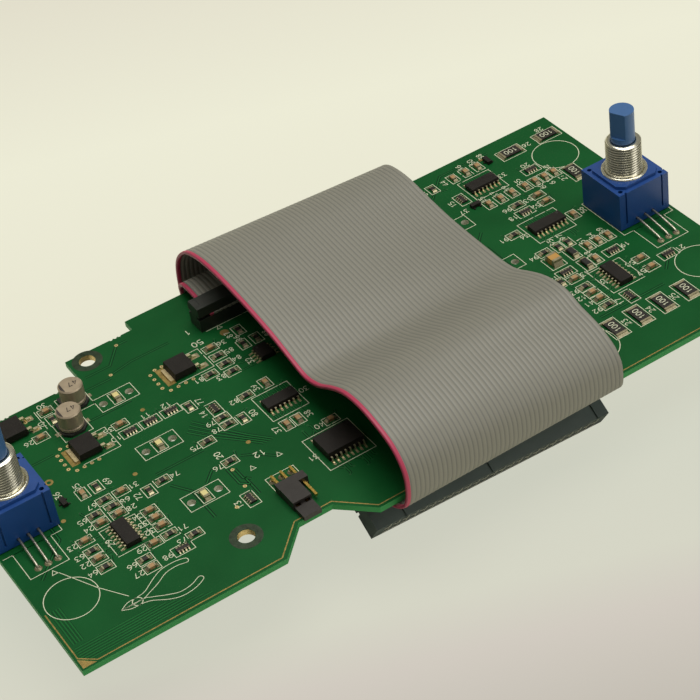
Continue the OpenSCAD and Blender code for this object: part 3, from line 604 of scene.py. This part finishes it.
for box in lumps("regulator_legs"):
    solder_shapes.append(plate(box[3] - 1.7, box[1] - 0.5, box[3] + 0.8, box[4] + 0.5,
                               wide_pad_z))
for box in lumps("electrolytic_bases"):
    my = middle(box)[1]
    solder_shapes.append(plate(box[0] - 1.3, my - 0.7, box[0] + 0.4, my + 0.7, wide_pad_z))
    solder_shapes.append(plate(box[3] - 0.4, my - 0.7, box[3] + 1.3, my + 0.7, wide_pad_z))
piece("solder_pads", *gather(solder_shapes), solder, slot="tinned_contact")

# ---- legend print
# Thin cream outlines round the parts, rings, pot outlines, a cutting-tool pictogram and plain
# numbers, all as flat strips. The numbers are drawn with a small stroke alphabet.
ink_z = 0.026
ink_w = 0.17


def smooth_line(rows_in, steps):
    """Rows of numbers with Catmull-Rom rows put between them."""
    padded = np.vstack([2 * rows_in[0] - rows_in[1], rows_in, 2 * rows_in[-1] - rows_in[-2]])
    out = []
    for i in range(1, len(padded) - 2):
        p0, p1, p2, p3 = padded[i - 1:i + 3]
        for t in np.arange(steps) / steps:
            out.append(0.5 * (2 * p1 + (p2 - p0) * t + (2 * p0 - 5 * p1 + 4 * p2 - p3) * t ** 2
                              + (3 * p1 - p0 - 3 * p2 + p3) * t ** 3))
    out.append(padded[-2])
    return np.array(out)


def frame_line(x0, y0, x1, y1):
    """The closed outline of a rectangle."""
    return [(x0, y0), (x1, y0), (x1, y1), (x0, y1)]


outlines = []
for box in small_boxes:
    gap_x, gap_y = (0.95, 0.75) if long_axis(box) == 0 else (0.75, 0.95)
    outlines.append(frame_line(box[0] - gap_x, box[1] - gap_y, box[3] + gap_x, box[4] + gap_y))
for name, gap in (("power_resistors", 0.7), ("rectifier_diodes", 0.7),
                  ("tantalum_capacitor", 0.9), ("electrolytic_bases", 0.5)):
    for x0, y0, z0, x1, y1, z1 in lumps(name):
        outlines.append(frame_line(x0 - gap, y0 - gap, x1 + gap, y1 + gap))
outlines += [
    frame_line(22.3, 25.2, 31.7, 35.2), frame_line(164.3, 25.3, 174.2, 35.7),
    frame_line(162.7, 53.8, 174.5, 64), frame_line(161.5, 80, 171.8, 89.7),
    frame_line(61.2, 19.9, 68.9, 25), frame_line(3.1, 32, 13, 41.7),
    frame_line(184, 32.2, 194, 42), frame_line(181, 42, 197, 60),
    frame_line(73.2, 41, 83.4, 51.6), frame_line(74.8, 17.6, 87.6, 30.4)
]
for x, y in led_places:
    outlines.append(frame_line(x - 5.2, y - 2.8, x + 5.2, y + 2.8))
    outlines.append(frame_line(x - 1.5, y - 2.2, x + 1.5, y + 2.2))
for x, y in ((61, 30.5), (68.3, 30.5), (8.3, 30.5), (81, 81)):
    outlines.append([(x - 0.7, y - 0.6), (x + 0.7, y - 0.6), (x, y + 0.8)])
open_lines = [
    [(16, 41.7), (16, 60)], [(0.6, 41.7), (16, 41.7)], [(77.5, 81.6), (120, 81.6)],
    [(30, 58), (40.2, 58), (40.2, 66.7), (30, 66.7)], [(28.9, 75.3), (28.9, 83.3)],
    [(62, 68.5), (72.4, 68.5), (72.4, 77.2), (62, 77.2)],
    [(18.4, 13), (14, 20), (9.2, 29.8)],
]
# one closed line for each half of the cutting tool: jaw, pivot and bowed handle
tool_halves = [
    [(15, 10.2), (17.2, 11.4), (19.6, 11.5), (22, 12), (25, 14), (28, 15.5), (31.5, 15.7), (34.2, 15),
     (34, 13.7), (31.5, 14.2), (28.4, 13.9), (25.4, 12.2), (22.4, 10.9), (20.5, 10.2)],
    [(15, 10.2), (17.2, 9.2), (19.6, 9.1), (22, 8.4), (25, 6.4), (28, 5.3), (31.5, 5.6), (34.3, 6.9),
     (33.8, 8.1), (31.2, 7), (28.2, 6.7), (25.4, 7.8), (22.4, 9.4), (20.5, 10.2)]
]
open_lines += [smooth_line(np.array(half + half[:1], float), 4) for half in tool_halves]
ink_shapes = [strip(line, ink_w, ink_z, closed=True) for line in outlines]
ink_shapes += [strip(line, ink_w, ink_z) for line in open_lines]
ink_shapes += [disc(x, y, 6.5, 6.3, ink_z, 64) for x, y in
               ((7.9, 20.8), (189.6, 82.9), (188.6, 21), (148, 12.5))]
ink_shapes.append(disc(19.2, 10.3, 1.3, 1.1, ink_z, 24))

# Points of each numeral in a box 0.6 wide and 1 high.
numerals = [
    [(0, 0.25), (0, 0.75), (0.2, 1), (0.4, 1), (0.6, 0.75), (0.6, 0.25), (0.4, 0), (0.2, 0), (0, 0.25)],
    [(0.12, 0.78), (0.35, 1), (0.35, 0)],
    [(0, 0.78), (0.2, 1), (0.42, 1), (0.6, 0.78), (0.55, 0.55), (0, 0), (0.6, 0)],
    [(0, 1), (0.6, 1), (0.28, 0.6), (0.6, 0.42), (0.6, 0.18), (0.4, 0), (0.18, 0), (0, 0.15)],
    [(0.45, 0), (0.45, 1), (0, 0.3), (0.6, 0.3)],
    [(0.58, 1), (0, 1), (0, 0.58), (0.4, 0.6), (0.6, 0.4), (0.6, 0.2), (0.4, 0), (0, 0.02)],
    [(0.52, 1), (0.15, 0.75), (0, 0.4), (0, 0.2), (0.2, 0), (0.4, 0), (0.6, 0.2), (0.6, 0.38),
     (0.4, 0.55), (0.05, 0.48)],
    [(0, 1), (0.6, 1), (0.22, 0)],
    [(0.3, 0.54), (0.03, 0.76), (0.2, 1), (0.4, 1), (0.57, 0.76), (0.3, 0.54), (0, 0.26), (0.2, 0),
     (0.4, 0), (0.6, 0.26), (0.32, 0.53)],
    [(0.08, 0), (0.45, 0.25), (0.6, 0.6), (0.6, 0.8), (0.4, 1), (0.2, 1), (0, 0.8), (0, 0.62),
     (0.2, 0.45), (0.55, 0.52)]
]


def number_lines(number, x, y, height, turn):
    """Strokes of a plain number centred on a place and turned by an angle in degrees."""
    text = str(number)
    width = (0.9 * len(text) - 0.3) * height
    c, s = math.cos(math.radians(turn)), math.sin(math.radians(turn))
    lines = []
    for i, digit in enumerate(text):
        line = []
        for u, v in numerals[int(digit)]:
            px = (u + 0.9 * i) * height - width / 2
            py = (v - 0.5) * height
            line.append((x + px * c - py * s, y + px * s + py * c))
        lines.append(line)
    return lines


taken = [tuple(b) for n in ("chip_capacitors", "chip_resistors", "resistor_arrays",
                            "power_resistors", "rectifier_diodes", "tantalum_capacitor",
                            "small_transistors", "status_leds", "logic_chip_legs",
                            "logic_chips", "electrolytic_bases", "regulator_bodies",
                            "regulator_tabs", "regulator_legs", "left_pot_housing",
                            "right_pot_housing", "left_pot_leads", "right_pot_leads",
                            "jumper_base", "jumper_pins", "shunt_cap")
         for b in lumps(n)]


def is_free(x0, y0, x1, y1):
    """Whether a rectangle of the board is bare of parts and numbers."""
    if not (on_copper(x0, y0) and on_copper(x1, y1) and on_copper(x0, y1) and on_copper(x1, y0)):
        return False
    return all(x1 < b[0] - 0.3 or b[3] + 0.3 < x0 or y1 < b[1] - 0.3 or b[4] + 0.3 < y0
               for b in taken)


number = 11
number_h = 1.5
for box in [*small_boxes, *lumps("power_resistors"), *chip_boxes, *lumps("small_transistors")]:
    number += 1
    mx, my = middle(box)
    half_x, half_y = (box[3] - box[0]) / 2, (box[4] - box[1]) / 2
    for dx, dy in ((-half_x - 2.3, 0), (half_x + 2.3, 0), (0, half_y + 1.9), (0, -half_y - 1.9),
                   (-half_x - 2.3, 1.6), (half_x + 2.3, -1.6)):
        turn = 180 if half_x >= half_y else 90
        wide, high = (1.25, 0.8) if turn == 180 else (0.8, 1.25)
        if is_free(mx + dx - wide, my + dy - high, mx + dx + wide, my + dy + high):
            taken.append((mx + dx - wide, my + dy - high, 0, mx + dx + wide, my + dy + high, 0))
            ink_shapes += [strip(line, 0.19, ink_z)
                           for line in number_lines(number % 89 + 10, mx + dx, my + dy, number_h, turn)]
            break
for value, x, y, height, turn in ((1, 73.6, 84.5, 1.8, 180), (50, 73.4, 79, 1.8, 180),
                                  (12, 64.8, 33.6, 1.8, 180), (20, 56.8, 39.4, 1.5, 90)):
    ink_shapes += [strip(line, 0.24, ink_z) for line in number_lines(value, x, y, height, turn)]
for box in lumps("power_resistors"):
    turn = 180 if long_axis(box) == 0 else 90
    ink_shapes += [strip(line, 0.2, box[5] + 0.02)
                   for line in number_lines(100, *middle(box), number_h, turn)]
ink = finish("ink", linear(200, 202, 176), 0.6, mottle=0.25, scale=900)
piece("legend_print", *gather(ink_shapes), ink, slot="solder_mask")

# ---- ribbon
# Fifty soft round conductors side by side, joined by thin webs: a ribbed sheet in warm grey
# with a red first conductor. It follows the same stations as the CAD part, smoothed.
conductors = 50
pitch = 1.27
ribbon_w = conductors * pitch
full_half = 0.44       # half thickness over a conductor, and over a web
web_half = 0.3
per_conductor = 5
steps = 4
connector_front_y = 81.9
slot_z = 4.15
ribbon_left = 79.8
route = [
    (connector_front_y, slot_z, connector_front_y, slot_z, ribbon_left),
    (87.5, slot_z, 87.5, slot_z, ribbon_left), (90.5, 4.3, 90.5, 4.3, 79.8),
    (94.5, 4.5, 94.5, 4.2, 79.9), (98, 3.9, 98, 3.5, 80), (100.2, 1.9, 100.2, 1.4, 80.2),
    (100.8, -1, 100.8, -1.5, 80.5), (101, -4, 101, -4.5, 80.9), (102.4, -6.2, 102.3, -6.6, 81.4),
    (104.4, -5.4, 104.2, -5.6, 81.9), (105.2, -2, 105, -2.6, 82.2), (105.2, 2, 105, 0.8, 82.4),
    (104.2, 6, 104, 4, 82.5), (102, 9.6, 101.8, 7, 82.6), (98.4, 12.8, 98.4, 9.2, 82.7),
    (94, 14.8, 93, 10.2, 82.7), (87.5, 16.1, 87, 10.1, 82.7), (80, 16.3, 79, 8.8, 82.7),
    (71, 15.6, 70, 7.7, 82.7), (62, 14.4, 61, 7.3, 82.7), (53.5, 12.8, 53, 7.2, 82.7),
    (45, 10.4, 46, 7.2, 82.7), (39.5, 9.3, 40.5, 8.2, 82.7), (33.5, 10.9, 34.5, 10.9, 82.7),
    (27, 14.5, 28.5, 13.3, 82.7), (21.5, 17, 23.5, 14.3, 82.7), (16.5, 17.9, 19, 14.2, 82.7),
    (11.5, 17.9, 14, 12.6, 82.6), (6, 16.6, 9, 11.6, 82.6), (1.6, 14.8, 4.5, 10, 82.6),
    (-1.6, 12.2, 1, 8, 82.5), (-3.5, 8.8, -1, 5.4, 82.4), (-4, 5, -1.7, 2.8, 82.2),
    (-3.6, 1.6, -1.9, 0.6, 82), (-2.4, -1, -1.6, -1.4, 81.7), (0.4, -3, 0.8, -3.2, 81.3),
    (4, -4, 4.4, -5.2, 80.9), (7.4, -5.4, 7.8, -8, 80.4), (10.2, -8, 10.4, -11, 79.9)
]


def ribbed_sheet(stations):
    """Points, faces and conductor numbers of the sheet. At a share t across one conductor its half
    thickness is web_half + (full_half - web_half) * sqrt(1 - ((t - 0.5) / 0.46) ** 2)."""
    line = smooth_line(stations, steps)
    rows, columns = len(line), conductors * per_conductor + 1
    strand = np.arange(columns) / per_conductor
    bulge = np.sqrt(np.clip(1 - ((strand % 1 - 0.5) / 0.46) ** 2, 0, 1))
    half = web_half + (full_half - web_half) * bulge
    share = (strand * pitch / ribbon_w)[None, :, None]
    left = np.c_[line[:, 4], line[:, 0:2]][:, None, :]
    right = np.c_[line[:, 4] + ribbon_w, line[:, 2:4]][:, None, :]
    sheet = left * (1 - share) + right * share
    normal = np.cross(np.gradient(sheet, axis=1), np.gradient(sheet, axis=0))
    normal /= np.linalg.norm(normal, axis=2)[:, :, None]
    lift = half[None, :, None] * normal
    points = np.concatenate([(sheet + lift).reshape(-1, 3), (sheet - lift).reshape(-1, 3)])
    grid = np.arange(rows * columns).reshape(rows, columns)
    under = grid + rows * columns
    quads = [(grid[:-1, :-1], grid[:-1, 1:], grid[1:, 1:], grid[1:, :-1]),
             (under[1:, :-1], under[1:, 1:], under[:-1, 1:], under[:-1, :-1]),
             (grid[:-1, 0], grid[1:, 0], under[1:, 0], under[:-1, 0]),
             (grid[1:, -1], grid[:-1, -1], under[:-1, -1], under[1:, -1]),
             (grid[0, 1:], grid[0, :-1], under[0, :-1], under[0, 1:]),
             (grid[-1, :-1], grid[-1, 1:], under[-1, 1:], under[-1, :-1])]
    faces = np.concatenate([np.stack(quad, axis=-1).reshape(-1, 4) for quad in quads])
    return points, faces, np.tile(strand, 2 * rows)


ribbon_points, ribbon_faces, strands = ribbed_sheet(np.array(route, float))
ribbon_skin = finish("ribbon_skin", linear(124, 122, 113), 0.5, mottle=0.05, scale=60, bump=0.05)
tree = ribbon_skin.node_tree
strand = tree.nodes.new("ShaderNodeAttribute")
strand.attribute_name = "strand"
groove = tree.nodes.new("ShaderNodeMath")
groove.operation = "FRACT"
tree.links.new(strand.outputs["Fac"], groove.inputs[0])
# Painted shade: the web between each pair of conductors is multiplied by a cool dark grey, so the
# grooves between the ribs read darker.
valley = tree.nodes.new("ShaderNodeValToRGB")
painted_groove_shade = (0.6, 0.64, 0.67, 1)
no_tint = (1, 1, 1, 1)
stops = valley.color_ramp.elements
stops[0].color = painted_groove_shade
stops[1].position = 0.2
stops[1].color = no_tint
stops.new(0.8).color = no_tint
stops.new(1.0).color = painted_groove_shade
tree.links.new(groove.outputs[0], valley.inputs["Fac"])
first = tree.nodes.new("ShaderNodeMath")
first.operation = "LESS_THAN"
first.inputs[1].default_value = 0.8
tree.links.new(strand.outputs["Fac"], first.inputs[0])
red = tree.nodes.new("ShaderNodeMix")
red.data_type = "RGBA"
red.inputs[7].default_value = linear(166, 44, 78)
tree.links.new(first.outputs[0], red.inputs[0])
tree.links.new(tree.nodes["grain"].outputs["Colour"], red.inputs[6])
darken = tree.nodes.new("ShaderNodeMix")
darken.data_type = "RGBA"
darken.blend_type = "MULTIPLY"
darken.inputs[0].default_value = 1
tree.links.new(red.outputs[2], darken.inputs[6])
tree.links.new(valley.outputs[0], darken.inputs[7])
tree.links.new(darken.outputs[2], tree.nodes["Principled BSDF"].inputs["Base Color"])

ribbon_mesh = bpy.data.meshes.new("ribbon_sheet")
ribbon_mesh.vertices.add(len(ribbon_points))
ribbon_mesh.vertices.foreach_set("co", row(ribbon_points).astype(np.float32).ravel())
ribbon_mesh.loops.add(ribbon_faces.size)
ribbon_mesh.loops.foreach_set("vertex_index", ribbon_faces.astype(np.int32).ravel())
ribbon_mesh.polygons.add(len(ribbon_faces))
ribbon_mesh.polygons.foreach_set("loop_start", np.arange(0, ribbon_faces.size, 4, dtype=np.int32))
ribbon_mesh.update(calc_edges=True)
ribbon_mesh.validate()
ribbon_mesh.shade_smooth()
strand_values = ribbon_mesh.attributes.new("strand", "FLOAT", "POINT")
strand_values.data.foreach_set("value", strands.astype(np.float32))
ribbon_mesh.materials.append(ribbon_skin)
ribbon = bpy.data.objects.new("ribbon_sheet", ribbon_mesh)
bpy.context.scene.collection.objects.link(ribbon)
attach(ribbon, "board")
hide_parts("ribbon_cable")

# ---- connectors
# Moulded glass-filled plastic: near black on the board, slate grey on the free socket. The
# contacts are gold in the socket and tinned where the tails pass the board.
black_plastic = finish("black_plastic", linear(30, 33, 29), 0.42, mottle=0.2, scale=300)
slate_plastic = finish("slate_plastic", linear(72, 84, 82), 0.46, mottle=0.15, scale=300)
tin = finish("tin", linear(196, 192, 178), 0.28, metal=1.0, mottle=0.2, scale=900)
gold = finish("gold", linear(212, 176, 92), 0.26, metal=1.0, mottle=0.15, scale=900)
paint(black_plastic, "board_connector_base", "board_connector_cover")
paint(slate_plastic, "socket_body", "socket_cover")
paint(tin, "board_connector_contacts")
paint(gold, "socket_contacts")

# The lead-in funnel round each well of the socket's mating face catches the light. It is drawn
# as a square frame, sloping in, just proud of the face, in a pale cream that is a painted
# highlight on the slate. It is laid out in the socket's own axes.
socket_dip = math.radians(32)
socket_roll = math.radians(2.9)
socket_corner = (77.6, 8.2, -17.2)
socket_t = 6.1
socket_end = 2.3
funnel_half = 0.85
throat_half = 0.45


def in_socket(points):
    """Points in the free socket's axes (along, back from the mating face, up), on the board."""
    p = np.asarray(points, float)
    y = p[:, 1] * math.cos(socket_dip) - p[:, 2] * math.sin(socket_dip)
    z = p[:, 1] * math.sin(socket_dip) + p[:, 2] * math.cos(socket_dip)
    return np.c_[socket_corner[0] + p[:, 0] * math.cos(socket_roll) + z * math.sin(socket_roll),
                 socket_corner[1] + y,
                 socket_corner[2] - p[:, 0] * math.sin(socket_roll) + z * math.cos(socket_roll)]


funnels = []
for i in range(conductors // 2):
    for j in (0, 1):
        wx = socket_end + ribbon_w / 2 + (i - (conductors // 2 - 1) / 2) * 2 * pitch
        wz = socket_t / 2 + (j - 0.5) * 2 * pitch
        corners = [(wx + sx * half_side, back, wz + sz * half_side)
                   for half_side, back in ((funnel_half, -0.04), (throat_half, 0.1))
                   for sx, sz in ((-1, -1), (1, -1), (1, 1), (-1, 1))]
        funnels.append((in_socket(corners),
                        [(k, (k + 1) % 4, 4 + (k + 1) % 4, 4 + k) for k in range(4)]))
# Painted highlight: the funnels are given a pale cream in place of the socket's slate.
funnel_highlight = finish("funnel_highlight", linear(226, 222, 204), 0.5, mottle=0.2)
piece("well_funnels", *gather(funnels), funnel_highlight, slot="socket_slate")

# ---- potentiometers
# Blue moulded housing and shaft, and a nickel-plated threaded bushing on a rolled flange. The
# bushing is a lathe profile whose radius follows a helical thread. Its bore shows the shaft.
# The thread's valleys are darkened with painted shade.
pot_places = {"left": 8.6, "right": 189.1}
pot_y = 51.5
thread_bottom = 12.9
thread_top = 21.6
thread_pitch = 0.75
thread_deep = 0.42
bushing_r = 4.75
bore_r = 2.85
pot_blue = finish("pot_blue", linear(20, 64, 130), 0.42, mottle=0.15, scale=200)
shaft_blue = finish("shaft_blue", linear(58, 96, 146), 0.4, mottle=0.12, scale=200)
nickel = finish("nickel", linear(228, 224, 206), 0.22, metal=1.0, mottle=0.18, scale=500)
rotor_white = finish("rotor_white", linear(214, 210, 196), 0.5)
wiper_bronze = finish("wiper_bronze", linear(180, 140, 76), 0.3, metal=1.0)
carbon = finish("carbon", linear(46, 44, 40), 0.6)


def bushing_mesh(x):
    """A lathe grid round a pot's axis: rows go up the outside, over the rim and down the bore.
    Between the thread's ends the radius is bushing_r minus a triangle wave of height and angle."""
    sides = 64
    angle = np.arange(sides) * 2 * math.pi / sides
    rows = [(thread_bottom - 0.6, 6.05, 0), (thread_bottom - 0.3, 6.05, 0),
            (thread_bottom - 0.08, 5.85, 0), (thread_bottom - 0.02, 5.6, 0),
            (thread_bottom - 0.08, 5.35, 0), (thread_bottom - 0.4, 5.1, 0),
            (thread_bottom - 0.4, 4.3, 0)]
    heights = np.arange(thread_bottom, thread_top - 0.35, thread_pitch / 8)
    rows += [(z, bushing_r, 1) for z in heights]
    rows += [(thread_top - 0.3, bushing_r - 0.25, 0), (thread_top, bushing_r - 0.6, 0),
             (thread_top, bore_r, 0), (thread_bottom, bore_r, 0)]
    points = []
    valleys = []
    for z, radius, cut in rows:
        wave = np.abs(((z / thread_pitch - angle / (2 * math.pi)) % 1) * 2 - 1)
        r = radius - cut * thread_deep * wave
        # how deep each point lies in the thread, which sets the painted shade in the valleys
        valleys.append(cut * wave)
        points.append(np.c_[x + r * np.cos(angle), pot_y + r * np.sin(angle), np.full(sides, z)])
    faces = []
    for k in range(len(rows) - 1):
        for i in range(sides):
            j = (i + 1) % sides
            faces.append((k * sides + i, k * sides + j, (k + 1) * sides + j, (k + 1) * sides + i))
    return np.concatenate(points), faces, np.concatenate(valleys)


def lead_tubes(x):
    """Three round leads of a pot: tubes of eight sides along a smooth path down to the holes."""
    reach = np.array([[7.6, 1.95], [9, 1.95], [11, 1.75], [13.2, 1.4], [15.4, 1.05], [16.7, 0.75],
                      [17.3, 0.3], [17.4, -0.6]])
    path = smooth_line(reach, 4)
    ahead = np.gradient(path, axis=0)
    ahead /= np.linalg.norm(ahead, axis=1)[:, None]
    turn = np.arange(8) * math.pi / 4
    shapes = []
    for i in (-1, 0, 1):
        rings = [np.c_[x + 2.54 * i + 0.32 * np.cos(turn),
                       pot_y - r + 0.32 * np.sin(turn) * dz, z + 0.32 * np.sin(turn) * dr]
                 for (r, z), (dr, dz) in zip(path, ahead)]
        faces = [(8 * k + j, 8 * k + (j + 1) % 8, 8 * k + 8 + (j + 1) % 8, 8 * k + 8 + j)
                 for k in range(len(rings) - 1) for j in range(8)]
        shapes.append((np.concatenate(rings), faces))
    return gather(shapes)


lead_wire = finish("lead_wire", linear(176, 172, 156), 0.32, metal=0.9, mottle=0.2, scale=500)
# Painted shade: the nickel is mixed towards a dark brown by how deep each point lies in the thread,
# standing in for the shade in the thread's hollows.
tree = nickel.node_tree
valley_depth = tree.nodes.new("ShaderNodeAttribute")
valley_depth.attribute_name = "valley"
thread_valley_shade = tree.nodes.new("ShaderNodeMix")
thread_valley_shade.data_type = "RGBA"
thread_valley_shade.inputs[7].default_value = linear(74, 70, 60)
tree.links.new(valley_depth.outputs["Fac"], thread_valley_shade.inputs[0])
tree.links.new(tree.nodes["grain"].outputs["Colour"], thread_valley_shade.inputs[6])
tree.links.new(thread_valley_shade.outputs[2], tree.nodes["Principled BSDF"].inputs["Base Color"])
for side, x in pot_places.items():
    bushing_points, bushing_faces, valleys = bushing_mesh(x)
    bushing = piece(f"{side}_threaded_bushing", bushing_points, bushing_faces, nickel,
                    slot="nickel", smooth=True)
    shading = bushing.data.attributes.new("valley", "FLOAT", "POINT")
    shading.data.foreach_set("value", valleys.astype(np.float32))
    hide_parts(f"{side}_pot_bushing")
    leads = piece(f"{side}_round_leads", *lead_tubes(x), lead_wire, slot="tinned_contact", smooth=True)
    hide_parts(f"{side}_pot_leads")
    paint(pot_blue, f"{side}_pot_housing", f"{side}_pot_rear_plate")
    paint(shaft_blue, f"{side}_pot_shaft")
    paint(rotor_white, f"{side}_pot_rotor")
    paint(wiper_bronze, f"{side}_pot_wiper")
    paint(carbon, f"{side}_pot_element")
    paint(tin, f"{side}_pot_leads")
paint(solder, "lead_solder")

# ---- jumper
# A black three-pin header with gold pins, and the black shunt pushed over two of them. They
# are CAD meshes with a finish only; the shunt is pressed on and slides off to the front.
header_black = finish("header_black", linear(34, 29, 26), 0.45, mottle=0.2, scale=500)
paint(header_black, "jumper_base", "shunt_cap")
paint(gold, "jumper_pins", "shunt_clip")

# ---- electrolytic capacitors
# Drawn aluminium cans on black bases. A dark printed segment on the top marks one pole, and
# a plain number stands beside it.
aluminium = finish("aluminium", linear(170, 154, 132), 0.4, metal=0.5, mottle=0.2, scale=500)
base_black = finish("base_black", linear(28, 28, 26), 0.5)
segment_ink = finish("segment_ink", linear(48, 40, 34), 0.55)
paint(aluminium, "electrolytic_cans")
paint(base_black, "electrolytic_bases")
segment_shapes = []
turns = np.radians(np.linspace(-42, 42, 15) + 180)
for box in lumps("electrolytic_cans"):
    cx, cy = middle(box)
    r = (box[3] - box[0]) / 2 - 0.35
    top_z = box[5] + 0.02
    segment_shapes.append(([(cx + r * math.cos(t), cy + r * math.sin(t), top_z) for t in turns],
                           [tuple(range(len(turns)))]))
    segment_shapes += [strip(line, 0.22, top_z)
                       for line in number_lines(47, cx + 0.7, cy, number_h, 180)]
piece("pole_segments", *gather(segment_shapes), segment_ink, slot="can_aluminium")

# ---- chips and regulators
# Matt black epoxy packages with tinned gull legs. Each chip has a moulded dimple by pin one,
# drawn as a flat dark disc on its top.
epoxy = finish("epoxy", linear(25, 21, 18), 0.5, mottle=0.3, scale=500, bump=0.3, specular=0.25)
leg_tin = finish("leg_tin", linear(226, 214, 178), 0.35, metal=1.0, mottle=0.2, scale=900)
tab_tin = finish("tab_tin", linear(200, 182, 140), 0.38, metal=0.7, mottle=0.3, scale=700)
dimple_dark = finish("dimple_dark", linear(24, 21, 18), 0.35)
paint(epoxy, "logic_chips", "microcontroller", "regulator_bodies", "small_transistors")
paint(leg_tin, "logic_chip_legs", "microcontroller_legs", "regulator_legs")
paint(tab_tin, "regulator_tabs")
dimples = []
for box in chip_boxes:
    x, y = (box[3] - 0.9, box[4] - 0.95) if long_axis(box) == 0 else (box[0] + 0.95, box[4] - 0.9)
    dimples.append(disc(x, y, 0.4, 0, box[5] + 0.01, 16))
piece("pin_one_dimples", *gather(dimples), dimple_dark, slot="package_black")

# ---- small parts
# Ceramic, film and glass bodies between tinned end caps. The end caps are the faces of each
# CAD solid that lie beyond its body's end.
ceramic = finish("ceramic", linear(158, 124, 84), 0.45, mottle=0.15, scale=500)
film = finish("film", linear(30, 25, 21), 0.4, mottle=0.2, scale=500)
diode_black = finish("diode_black", linear(26, 24, 22), 0.4)
tantalum = finish("tantalum", linear(176, 132, 66), 0.45)
lens = finish("lens", linear(214, 200, 140), 0.25)
crystal_steel = finish("crystal_steel", linear(186, 186, 180), 0.3, metal=1.0)
paint(crystal_steel, "crystal_can")
paint(film, "resistor_arrays")


def cap_ends(name, body, end, metal_length):
    """Gives a CAD node a body material, and the end material beyond its solids' bodies."""
    paint(body, name)
    mesh = nodes[name].data
    mesh.materials.append(end)
    boxes = lumps(name)
    centres = np.empty(len(mesh.polygons) * 3)
    mesh.polygons.foreach_get("center", centres)
    centres = centres.reshape(-1, 3) * 1000 + (hole_x, hole_front, -board_t)
    middles = (boxes[:, 0:2] + boxes[:, 3:5]) / 2
    index = np.zeros(len(centres), np.int32)
    for k, c in enumerate(centres):
        box = boxes[np.argmin(np.hypot(*(middles - c[:2]).T))]
        axis = long_axis(box)
        reach = (box[3 + axis] - box[axis]) / 2
        index[k] = abs(c[axis] - (box[axis] + box[3 + axis]) / 2) > reach - metal_length - 0.01
    mesh.polygons.foreach_set("material_index", index)


cap_ends("chip_capacitors", ceramic, solder, 0.4)
cap_ends("chip_resistors", film, solder, 0.4)
cap_ends("power_resistors", film, solder, 0.6)
cap_ends("rectifier_diodes", diode_black, solder, 0.4)
cap_ends("tantalum_capacitor", tantalum, solder, 0.8)
cap_ends("status_leds", lens, solder, 0.7)
